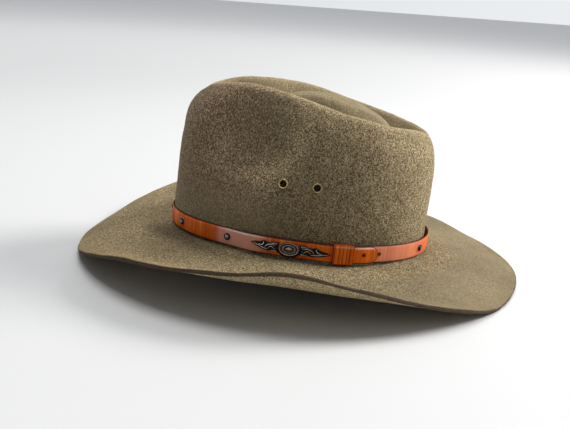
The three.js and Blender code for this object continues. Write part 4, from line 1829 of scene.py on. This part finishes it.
@dataclass
class Keeper:
    """The keeper loop round both layers, grooved across."""

    path: BandPath
    wall: float = 0.8
    edge_wall: float = 0.5
    edge_gap: float = 0.2
    grooves: tuple[float, ...] = (0.95, 4.3, 7.2, 10.1, 12.2)
    groove_depth: float = 0.22
    groove_width: float = 0.36
    stations: int = 110
    outer_radius: float = 0.6
    inner_radius: float = 0.25
    front_end: Fade = Fade(0.55, 0.1)
    rear_end: Fade = Fade(14.6, 15.1)
    side_from: float = 0.25
    side_to: float = 0.6
    side_dark: float = 0.85
    groove_dark: float = 0.7
    # Painted highlight line on the keeper's upper shoulder.
    line_from: Fade = Fade(-0.1, 0.3)
    line_to: Fade = Fade(0.8, 1.8)
    line_pale: float = 0.5

    def build(self, material: bpy.types.Material) -> bpy.types.Object:
        """Makes the loop.

        Args:
            material: The leather.

        Returns:
            The object.
        """
        path = self.path
        middle = path.width / 2
        low, high = -self.edge_gap, path.width + self.edge_gap
        outside = path.keeper_rise + 2 * path.thickness + 2 * path.gap
        outer_rings, inner_rings, flats, edges, painted_highlight = [], [], [], [], []
        for share in np.linspace(0, 1, self.stations):
            place = share * path.keeper_length
            along = path.keeper_start + place
            nick = sum(math.exp(-(((place - g) / self.groove_width) ** 2)) for g in self.grooves)
            cut = min(nick, 1.0) * self.groove_depth
            outer = StrapSection(
                low - self.edge_wall + cut * 0.5,
                high + self.edge_wall - cut * 0.5,
                0.0,
                outside + self.wall - cut,
                self.outer_radius,
            ).points()
            inner = StrapSection(low, high, self.wall, outside, self.inner_radius).points()
            places = np.full(len(outer), along)
            outer_rings.append(path.on(places, outer[:, 1], outer[:, 0]))
            inner_rings.append(path.on(places, inner[:, 1], inner[:, 0]))
            flats.append(np.stack([places, outer[:, 1]], 1))
            end = max(self.front_end.of(place), self.rear_end.of(place))
            away = np.abs(outer[:, 1] - middle)
            side = smoothstep(away, middle + self.side_from, middle + self.side_to)
            worn = max(float(end), min(nick, 1.0) * self.groove_dark)
            edges.append(np.maximum(side * self.side_dark, worn))
            # Painted highlight line along the upper shoulder of the outer face.
            under = path.width - outer[:, 1]
            line = self.line_from.of(under) * (1 - self.line_to.of(under))
            painted_highlight.append(line * self.line_pale * (outer[:, 0] > outside))
        rings = np.array(outer_rings + inner_rings[::-1])
        sides = rings.shape[1]
        made = looped(rings)
        made.flat = np.concatenate(flats + flats[::-1])
        made.layers["edge"] = np.concatenate(edges + [np.ones(sides)] * len(inner_rings))
        made.layers["painted_highlight"] = np.concatenate(painted_highlight + [np.zeros(sides)] * len(inner_rings))
        return made.piece("leather_keeper", material, sharp=50.0)


# Foot and rim of a stud: share of its radius, share of its height, how bright it is rubbed.
STUD_RIM = (
    (0.2, 0.0, 0.2),
    (0.9, 0.0, 0.2),
    (0.985, 0.05, 0.9),
    (1.0, 0.13, 1.0),
    (0.985, 0.22, 0.6),
    (0.94, 0.26, 0.1),
)


@dataclass
class Stud:
    """Domed stud with a small rolled rim."""

    radius: float = 2.7
    height: float = 1.5
    sides: int = 40
    dome_radius: float = 0.93
    dome_foot: float = 0.24
    dome_rise: float = 0.76
    dome_turn: int = 8
    pole: float = 0.04
    dome_bright: float = 0.35

    def shell(self) -> Shell:
        """The stud in its own frame, base at 0.

        Returns:
            The shell.
        """
        profile = [(radius, height) for radius, height, _ in STUD_RIM]
        for degrees in range(self.dome_turn, 90, self.dome_turn):
            turn = math.radians(degrees)
            height = self.dome_foot + self.dome_rise * math.sin(turn)
            profile.append((self.dome_radius * math.cos(turn), height))
        profile.append((self.pole, 1.0))
        scaled = [(r, z * self.height) for r, z in profile]
        made = turned(scaled, self.sides, (self.radius, self.radius))
        raised = [bright for _, _, bright in STUD_RIM]
        raised += list(np.linspace(self.dome_bright, 1.0, len(profile) - len(raised)))
        made.layers["raised"] = np.repeat(raised, self.sides)
        return made


class ConchoRow(NamedTuple):
    """Ring of the oval: share of its size, height, share of the rope's twist, how bright."""

    radius: float
    height: float
    rope: float
    bright: float


# The outer side of the rim is kept dark as painted shade.
CONCHO_ROWS = (
    ConchoRow(0.5, 0.0, 0.0, 0.0),
    ConchoRow(0.95, 0.0, 0.0, 0.0),
    ConchoRow(0.985, 0.15, 0.0, 0.1),
    ConchoRow(1.0, 0.4, 0.2, 0.0),
    ConchoRow(1.0, 0.8, 0.5, 0.0),
    ConchoRow(0.985, 1.1, 1.0, 0.15),
    ConchoRow(0.95, 1.3, 1.0, 0.6),
    ConchoRow(0.90, 1.36, 1.0, 1.0),
    ConchoRow(0.86, 1.28, 1.0, 0.9),
    ConchoRow(0.82, 1.08, 0.6, 0.4),
    ConchoRow(0.785, 0.88, 0.1, 0.0),
    ConchoRow(0.74, 0.84, 0.0, 0.0),
    ConchoRow(0.70, 0.90, 0.0, 0.1),
    ConchoRow(0.66, 1.10, 0.0, 0.4),
    ConchoRow(0.61, 1.20, 0.0, 0.6),
    ConchoRow(0.56, 1.22, 0.0, 0.65),
    ConchoRow(0.51, 1.16, 0.0, 0.4),
    ConchoRow(0.47, 1.04, 0.0, 0.2),
    ConchoRow(0.42, 0.98, 0.0, 0.1),
    ConchoRow(0.30, 1.06, 0.0, 0.4),
    ConchoRow(0.15, 1.12, 0.0, 0.6),
    ConchoRow(0.03, 1.15, 0.0, 0.6),
)
# Rings of the diamond: share of its size, height above its foot, how bright it is rubbed.
DIAMOND_ROWS = ((1.0, 0.0, 0.4), (1.0, 0.18, 0.6), (0.55, 0.62, 1.0), (0.12, 1.05, 1.0))


@dataclass
class Concho:
    """Oval ornament: rope rim, groove, second ring and a shallow middle with a brass diamond."""

    half_length: float = 7.7
    half_height: float = 5.0
    sides: int = 144
    twists: int = 30
    twist_slope: float = 40.0
    twist_depth: float = 0.10
    twist_dark: float = 0.5
    diamond: float = 2.3
    diamond_share: float = 0.78
    diamond_foot: float = 1.05

    def shell(self) -> Shell:
        """The oval in its own frame, base at 0.

        Returns:
            The shell.
        """
        turn = np.arange(self.sides) / self.sides * FULL_TURN
        rings, raised = [], []
        for radius, height, rope, bright in CONCHO_ROWS:
            wave = np.cos(self.twists * turn + radius * self.twist_slope)
            lift = height + self.twist_depth * rope * (wave - 1)
            x = radius * self.half_length * np.cos(turn)
            y = radius * self.half_height * np.sin(turn)
            rings.append(np.stack([x, y, np.broadcast_to(lift, turn.shape)], 1))
            dark = self.twist_dark * rope * (1 - wave) / 2
            raised.append(np.full(self.sides, bright) * (1 - dark))
        made = loft(np.array(rings))
        made.layers["raised"] = np.concatenate(raised)
        return made

    def diamond_shell(self) -> Shell:
        """The faceted diamond in the middle, in the same frame.

        Returns:
            The shell.
        """
        half = self.diamond * self.diamond_share
        corners = [(self.diamond, 0), (0, half), (-self.diamond, 0), (0, -half)]
        rings = []
        for share, rise, _ in DIAMOND_ROWS:
            height = self.diamond_foot + rise
            rings.append([(x * share, y * share, height) for x, y in corners])
        made = loft(np.array(rings))
        bright = [row[2] for row in DIAMOND_ROWS]
        made.layers["raised"] = np.repeat(bright, len(corners))
        return made


class Rib(NamedTuple):
    """Tapering rib of a scroll: its radii and its line of points."""

    radii: tuple[float, ...]
    line: tuple[tuple[float, float], ...]


# Place along the casting, with its lower and its upper edge.
SCROLL_OUTLINE = (
    (0.0, -3.4, 4.0),
    (0.5, -3.8, 4.3),
    (1.6, -3.2, 3.6),
    (3.2, -4.0, 3.8),
    (5.6, -3.4, 2.9),
    (8.4, -3.7, 2.8),
    (10.9, -3.3, 3.6),
    (13.4, -2.8, 2.1),
    (17.6, -1.6, 1.3),
    (21.0, -0.2, 0.2),
)
SCROLL_RIBS = (
    Rib((0.2, 0.6, 0.75, 0.5), ((19.6, 0), (16, -0.5), (11.5, -1.7), (7.6, -2.2))),
    Rib((0.35, 0.75, 0.6, 0.3), ((14.6, -0.2), (12.2, 0.1), (10.9, 1.4), (10.8, 2.7))),
    Rib((0.4, 0.75, 0.75, 0.4), ((9.6, -0.9), (7.4, 1.3), (4.2, 1.9), (1.9, 1.2))),
    Rib((0.35, 0.6, 0.6, 0.35), ((7.2, -1.2), (5.4, 0.2), (3.6, -0.3), (2.4, -1.7))),
    Rib((0.35, 0.6, 0.5, 0.2), ((0.6, 3.4), (1.2, 2.6), (2.9, 2.9), (4.6, 2.6))),
    Rib((0.3, 0.6, 0.5, 0.2), ((0.6, -3.0), (1.3, -2.5), (3.0, -3.1), (5.0, -2.9))),
    Rib((0.55, 0.55), ((1.3, -0.5), (1.4, -0.5))),
)


@dataclass
class Scroll:
    """Scroll casting beside the oval, drawn flat and wrapped round the band."""

    path: BandPath
    start: float
    direction: float
    reach: float
    tip_lift: float
    plate: float = 0.7
    horn: float = 0.9
    along_steps: int = 150
    across_steps: int = 44
    rib_steps: int = 48
    horn_fade: float = 3.0
    foot: float = 0.25
    edge_round: float = 0.3
    lip_at: float = 0.32
    lip_width: float = 0.22
    lip_height: float = 0.16
    lip_bright: float = 0.32
    rubbed_and_painted_light: Fade = Fade(0.78, 0.99)

    def relief(self, u: np.ndarray, v: np.ndarray) -> tuple[np.ndarray, np.ndarray]:
        """Relief of the ribs.

        Args:
            u: Places along the casting.
            v: Places across it.

        Returns:
            Height above the plate and nearness to a rib's crest, from 0 to 1.
        """
        total = np.zeros_like(u)
        crest = np.zeros_like(u)
        for rib in SCROLL_RIBS:
            line = np.array(rib.line, float)
            share = np.linspace(0, 1, self.rib_steps) * (len(line) - 1)
            knots = np.arange(len(line))
            if len(line) > 2:
                fine = np.stack([curve_through(line[:, k], share) for k in (0, 1)], 1)
            else:
                fine = np.stack([np.interp(share, knots, line[:, k]) for k in (0, 1)], 1)
            places = np.linspace(0, 1, self.rib_steps) * (len(rib.radii) - 1)
            radii = np.interp(places, np.arange(len(rib.radii)), rib.radii)
            away = np.hypot(u[..., None] - fine[:, 0], v[..., None] - fine[:, 1])
            dome = np.sqrt(np.clip(radii**2 - away**2, 0, None))
            total = np.maximum(total, dome.max(-1))
            crest = np.maximum(crest, (dome / radii).max(-1))
        return total, crest

    def build(self, name: str, material: bpy.types.Material) -> bpy.types.Object:
        """Makes the casting.

        Args:
            name: The piece's name.
            material: The metal.

        Returns:
            The object.
        """
        path = self.path
        outline = np.array(SCROLL_OUTLINE)
        u = np.linspace(0, outline[-1, 0], self.along_steps)
        low = np.interp(u, outline[:, 0], outline[:, 1])
        high = np.interp(u, outline[:, 0], outline[:, 2])
        share = np.linspace(0, 1, self.across_steps)
        v = low[:, None] + (high - low)[:, None] * share
        horn = self.horn * (v / outline[0, 2]) ** 2
        grid_u = u[:, None] - horn * np.clip(1 - u[:, None] / self.horn_fade, 0, 1)
        relief, crest = self.relief(grid_u, v)
        rim = np.minimum(v - low[:, None], high[:, None] - v)
        ends = np.minimum(u, outline[-1, 0] - u)[:, None]
        rim = np.minimum(rim, ends)
        lip = np.exp(-(((rim - self.lip_at) / self.lip_width) ** 2)) * self.lip_height
        inward = 1 - np.clip(rim / self.edge_round, 0, 1)
        round_off = np.sqrt(np.clip(1 - inward**2, 0, 1))
        height = self.foot + (self.plate - self.foot) * round_off
        height = height + np.maximum(relief, lip) * round_off
        along = self.start + self.direction * self.reach * grid_u
        back = path.top_layer(along) + path.thickness + path.gap
        middle = path.width / 2 + self.tip_lift * (grid_u / outline[-1, 0]) ** 2
        top = path.on(along, middle + v, back + height)
        bottom = path.on(along, middle + v, back)
        made = loft(np.concatenate([top, bottom[:, ::-1]], axis=1))
        raised = self.rubbed_and_painted_light.of(crest) * round_off + lip / self.lip_height * self.lip_bright
        made.layers["raised"] = np.concatenate([raised, np.zeros_like(raised)], axis=1).ravel()
        return made.piece(name, material, sharp=40.0)


def curve_through(values: np.ndarray, place: np.ndarray) -> np.ndarray:
    """Smooth curve through values at whole places.

    Args:
        values: Values at 0, 1, 2 and so on.
        place: Where the curve is wanted.

    Returns:
        Its values.
    """
    ends = np.concatenate([[2 * values[0] - values[1]], values, [2 * values[-1] - values[-2]]])
    first = np.clip(np.floor(place).astype(int), 0, len(values) - 2)
    f = place - first
    p0, p1, p2, p3 = [ends[first + k] for k in range(4)]
    rise = 2 * p0 - 5 * p1 + 4 * p2 - p3
    return 0.5 * (2 * p1 + (p2 - p0) * f + rise * f**2 + (3 * p1 - p0 - 3 * p2 + p3) * f**3)


@dataclass
class EyeletRing:
    """Rolled brass eyelet through the crown wall."""

    bore: float = 2.5
    barrel: float = 2.75
    flange: float = 3.9
    inner_flange: float = 3.5
    gap: float = 0.3
    back: float = -3.9
    lip: float = 0.6
    sides: int = 56
    shoulder: float = 0.15
    roll_lift: float = 0.22
    roll_height: float = 0.5
    roll_least: float = 0.02
    taper: float = 0.42
    chamfer: float = 0.3
    bright_rise: float = 0.6

    def shell(self) -> Shell:
        """The eyelet in its own frame, local Z outward from the felt's surface.

        Returns:
            The shell.
        """
        middle = (self.bore + self.flange) / 2
        half = (self.flange - self.bore) / 2
        profile = [(self.barrel, self.back), (self.barrel, self.gap)]
        profile.append((self.flange - self.shoulder, self.gap))
        for degrees in range(-10, 181, 19):
            turn = math.radians(degrees)
            height = self.gap + self.roll_lift + self.roll_height * math.sin(turn)
            height = max(height, self.gap + self.roll_least)
            profile.append((middle + half * math.cos(turn), height))
        end = self.back - self.lip
        profile += [(self.bore, self.back - self.taper), (self.bore + self.chamfer, end)]
        profile += [(self.inner_flange, end), (self.inner_flange, self.back)]
        turn = np.arange(self.sides) / self.sides * FULL_TURN
        rings = [
            np.stack([r * np.cos(turn), r * np.sin(turn), np.full(len(turn), z)], 1)
            for r, z in profile
        ]
        made = looped(np.array(rings))
        heights = np.repeat([z for _, z in profile], self.sides)
        made.layers["raised"] = np.clip((heights - self.gap) / self.bright_rise, 0, 1)
        return made


# The hat and its stage


@dataclass
class Dresser:
    """Places pieces on the frame and reports them."""

    count: int = 0

    def dress(self, piece: bpy.types.Object, slot: Slot, *nodes: str) -> bpy.types.Object:
        """Makes a piece ride on the hat and stand for CAD nodes.

        Args:
            piece: The piece.
            slot: Its material slot, not used.
            nodes: The nodes that it stands for.

        Returns:
            The piece.
        """
        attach(piece, "root")
        if nodes:
            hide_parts(*nodes)
        self.count += 1
        LOG.info("%s: %d faces", piece.name, len(piece.data.polygons))
        return piece


@dataclass
class Fittings:
    """Everything on the band and in the vents."""

    path: BandPath
    felt: FeltBody
    stud_places: tuple[float, float, float] = (47.6, 97.1, 261.3)
    hidden_studs: int = 7
    concho_at: float = 145.0
    scroll_front_at: float = 137.0
    scroll_front_reach: float = 0.95
    scroll_front_lift: float = 1.2
    scroll_rear_at: float = 153.0
    scroll_rear_reach: float = 1.06
    scroll_rear_lift: float = -0.8

    def on_band(self, shell: Shell, along: float) -> Shell:
        """Shell seated on the band's outer face.

        Args:
            shell: The shell, with local X along the band.
            along: Where on the band.

        Returns:
            The moved shell.
        """
        foot, forward, out = self.path.frame(along)
        lift = float(self.path.top_layer(along)) + self.path.thickness + self.path.gap
        centre = foot + out * lift + np.array((0, 0, self.path.width / 2))
        return seated(shell, centre, out, forward)

    def studs(self, dresser: Dresser) -> None:
        """Makes the studs.

        Args:
            dresser: Puts them on the frame.
        """
        nickel = STUD_NICKEL.material()
        first, second, last = self.stud_places
        rest = self.path.length - last + first
        parts = self.hidden_studs + 1
        places = [first, second, last, *(last + rest * i / parts for i in range(1, parts))]
        for i, along in enumerate(places, 1):
            piece = self.on_band(Stud().shell(), along).piece(f"stud_dome_{i:02d}", nickel)
            dresser.dress(piece, Slot.NICKEL, f"stud_{i:02d}")

    def ornament(self, dresser: Dresser, brass: bpy.types.Material) -> None:
        """Makes the oval with its diamond, and the scroll on either side of it.

        Args:
            dresser: Puts them on the frame.
            brass: The diamond's metal.
        """
        concho = Concho()
        cast = self.on_band(concho.shell(), self.concho_at)
        oval = cast.piece("concho_cast", OVAL_NICKEL.material())
        dresser.dress(oval, Slot.NICKEL, "concho_oval")
        diamond = self.on_band(concho.diamond_shell(), self.concho_at)
        dresser.dress(diamond.piece("concho_diamond", brass, sharp=15.0), Slot.BRASS)
        nickel = SCROLL_NICKEL.material()
        front = Scroll(
            self.path, self.scroll_front_at, -1, self.scroll_front_reach, self.scroll_front_lift
        )
        dresser.dress(front.build("scroll_cast_front", nickel), Slot.NICKEL, "scroll_front")
        rear = Scroll(
            self.path, self.scroll_rear_at, 1, self.scroll_rear_reach, self.scroll_rear_lift
        )
        dresser.dress(rear.build("scroll_cast_rear", nickel), Slot.NICKEL, "scroll_rear")

    def vents(self, dresser: Dresser, brass: bpy.types.Material) -> None:
        """Makes the eyelets.

        Args:
            dresser: Puts them on the frame.
            brass: Their metal.
        """
        for eyelet in EYELETS:
            point, outward = self.felt.surface_at(math.radians(eyelet.angle), eyelet.height)
            ring = seated(EyeletRing().shell(), point, outward)
            piece = ring.piece(f"{eyelet.name}_ring", brass)
            dresser.dress(piece, Slot.BRASS, eyelet.name)

    def build(self, dresser: Dresser) -> None:
        """Makes studs, oval, scrolls and eyelets.

        Args:
            dresser: Puts them on the frame.
        """
        brass = BRASS.material()
        self.studs(dresser)
        self.ornament(dresser, brass)
        self.vents(dresser, brass)


@dataclass(frozen=True)
class Lamp:
    """Soft lamp: name, place in metres, width and height, power, colour, highlights only or not."""

    name: str
    place: tuple[float, float, float]
    size: tuple[float, float]
    watts: float
    colour: Colour
    gloss_only: bool = False

    def add(self, target: Sequence[float]) -> bpy.types.Object:
        """Puts the lamp up, aimed at the hat.

        Args:
            target: What it is aimed at, in metres.

        Returns:
            The lamp.
        """
        data = bpy.data.lights.new(self.name, "AREA")
        data.shape = "RECTANGLE"
        data.size, data.size_y = self.size
        data.energy = self.watts
        data.color = self.colour
        lamp = bpy.data.objects.new(self.name, data)
        lamp.location = self.place
        lamp.visible_diffuse = not self.gloss_only
        aim = (Vector(self.place) - Vector(target)).normalized()
        lamp.rotation_mode = "QUATERNION"
        lamp.rotation_quaternion = aim.to_track_quat("Z", "Y")
        bpy.context.scene.collection.objects.link(lamp)
        return lamp


LAMPS = (
    Lamp("key", (-0.65, 1.7, 1.2), (0.8, 0.8), 61.0, (1.0, 0.97, 0.93)),
    Lamp("top", (-0.25, -0.3, 2.3), (1.3, 1.3), 38.0, (1.0, 0.98, 0.95)),
    Lamp("front strip", (0.88, -1.21, 0.40), (1.2, 0.35), 7.0, (1.0, 0.95, 0.93), True),
    Lamp("rear strip", (0.12, 1.50, 0.40), (1.0, 0.35), 7.0, (1.0, 0.95, 0.93), True),
    Lamp("upper strip", (1.1, 0.0, 1.15), (1.6, 0.35), 12.0, (1.0, 0.97, 0.95), True),
)


@dataclass
class Studio:
    """Floor, lights, sky and camera."""

    azimuth: float = math.radians(91.6642)
    elevation: float = math.radians(15.1309)
    roll: float = math.radians(6.5614)
    distance: float = 677.8702
    target: tuple[float, float, float] = (0.0, -13.0496, 9.4318)
    focal: float = 813.1887
    sensor: float = 36.0
    clip_start: float = 0.01
    lamp_target: tuple[float, float, float] = (0.0, 0.0, 0.06)
    sky_colour: tuple[float, ...] = (0.86, 0.88, 0.91, 1)
    sky_toward: tuple[float, float, float] = (-0.72, 0.62, 0.1)
    sky_from: float = -0.2
    sky_to: float = 0.95
    sky_low: float = 0.25
    sky_high: float = 0.98
    floor_half: float = 6.0

    def camera(self) -> bpy.types.Object:
        """Camera at the photograph's angle to the hat.

        Returns:
            The camera.
        """
        az, el, roll = self.azimuth, self.elevation, self.roll
        back = np.array((math.sin(az) * math.cos(el), -math.cos(az) * math.cos(el), math.sin(el)))
        right = np.array((math.cos(az), math.sin(az), 0.0))
        up = np.cross(back, right)
        level = (
            math.cos(roll) * right + math.sin(roll) * up,
            -math.sin(roll) * right + math.cos(roll) * up,
            back,
        )
        place = np.array(self.target) + back * self.distance
        turn = REST.matrix() @ np.stack(level, 1)
        matrix = Matrix(turn.tolist()).to_4x4()
        matrix.translation = (REST.laid(place[None])[0] * METRES).tolist()
        data = bpy.data.cameras.new("camera")
        data.sensor_width = self.sensor
        data.lens = self.focal / IMAGE_WIDTH * self.sensor
        data.clip_start = self.clip_start
        camera = bpy.data.objects.new("camera", data)
        camera.matrix_world = matrix
        bpy.context.scene.collection.objects.link(camera)
        bpy.context.scene.camera = camera
        return camera

    def sky(self) -> None:
        """Pale light all round, strongest from behind the hat's right side."""
        world = bpy.data.worlds.new("sky")
        world.use_nodes = True
        nodes, links = world.node_tree.nodes, world.node_tree.links
        shade = nodes["Background"]
        shade.inputs["Color"].default_value = self.sky_colour
        way = nodes.new("ShaderNodeTexCoord")
        toward = nodes.new("ShaderNodeVectorMath")
        toward.operation = "DOT_PRODUCT"
        toward.inputs[1].default_value = self.sky_toward
        level = nodes.new("ShaderNodeMapRange")
        level.interpolation_type = "SMOOTHSTEP"
        level.inputs["From Min"].default_value = self.sky_from
        level.inputs["From Max"].default_value = self.sky_to
        level.inputs["To Min"].default_value = self.sky_low
        level.inputs["To Max"].default_value = self.sky_high
        links.new(way.outputs["Generated"], toward.inputs[0])
        links.new(toward.outputs["Value"], level.inputs["Value"])
        links.new(level.outputs["Result"], shade.inputs["Strength"])
        bpy.context.scene.world = world

    def floor(self, material: bpy.types.Material) -> bpy.types.Object:
        """Wide plain floor.

        Args:
            material: Its material.

        Returns:
            The floor.
        """
        half = self.floor_half
        mesh = bpy.data.meshes.new("floor")
        corners = [(-half, -half, 0), (half, -half, 0), (half, half, 0), (-half, half, 0)]
        mesh.from_pydata(corners, [], [(0, 1, 2, 3)])
        mesh.materials.append(material)
        floor = bpy.data.objects.new("floor", mesh)
        bpy.context.scene.collection.objects.link(floor)
        return floor

    def build(self) -> None:
        """Sets the whole stage."""
        self.floor(FloorFinish().material())
        self.sky()
        for lamp in LAMPS:
            lamp.add(self.lamp_target)
        self.camera()
        scene = bpy.context.scene
        scene.view_settings.view_transform = "Standard"
        scene.view_settings.look = "None"


def main() -> None:
    """Builds the hat and its stage."""
    logging.basicConfig(level=logging.INFO, format="%(name)s: %(message)s")
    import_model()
    felt = FeltBody()
    path = BandPath(felt=felt)
    dresser = Dresser()
    dresser.dress(felt.build(FeltFinish().material()), Slot.FELT, "felt_body")
    leather = LeatherFinish().material()
    dresser.dress(Strap(path).build(leather), Slot.LEATHER, "band_strap")
    dresser.dress(Keeper(path).build(leather), Slot.LEATHER, "keeper_loop")
    Fittings(path, felt).build(dresser)
    LOG.info("%d pieces", dresser.count)
    Studio().build()


if __name__ == "__main__":
    main()
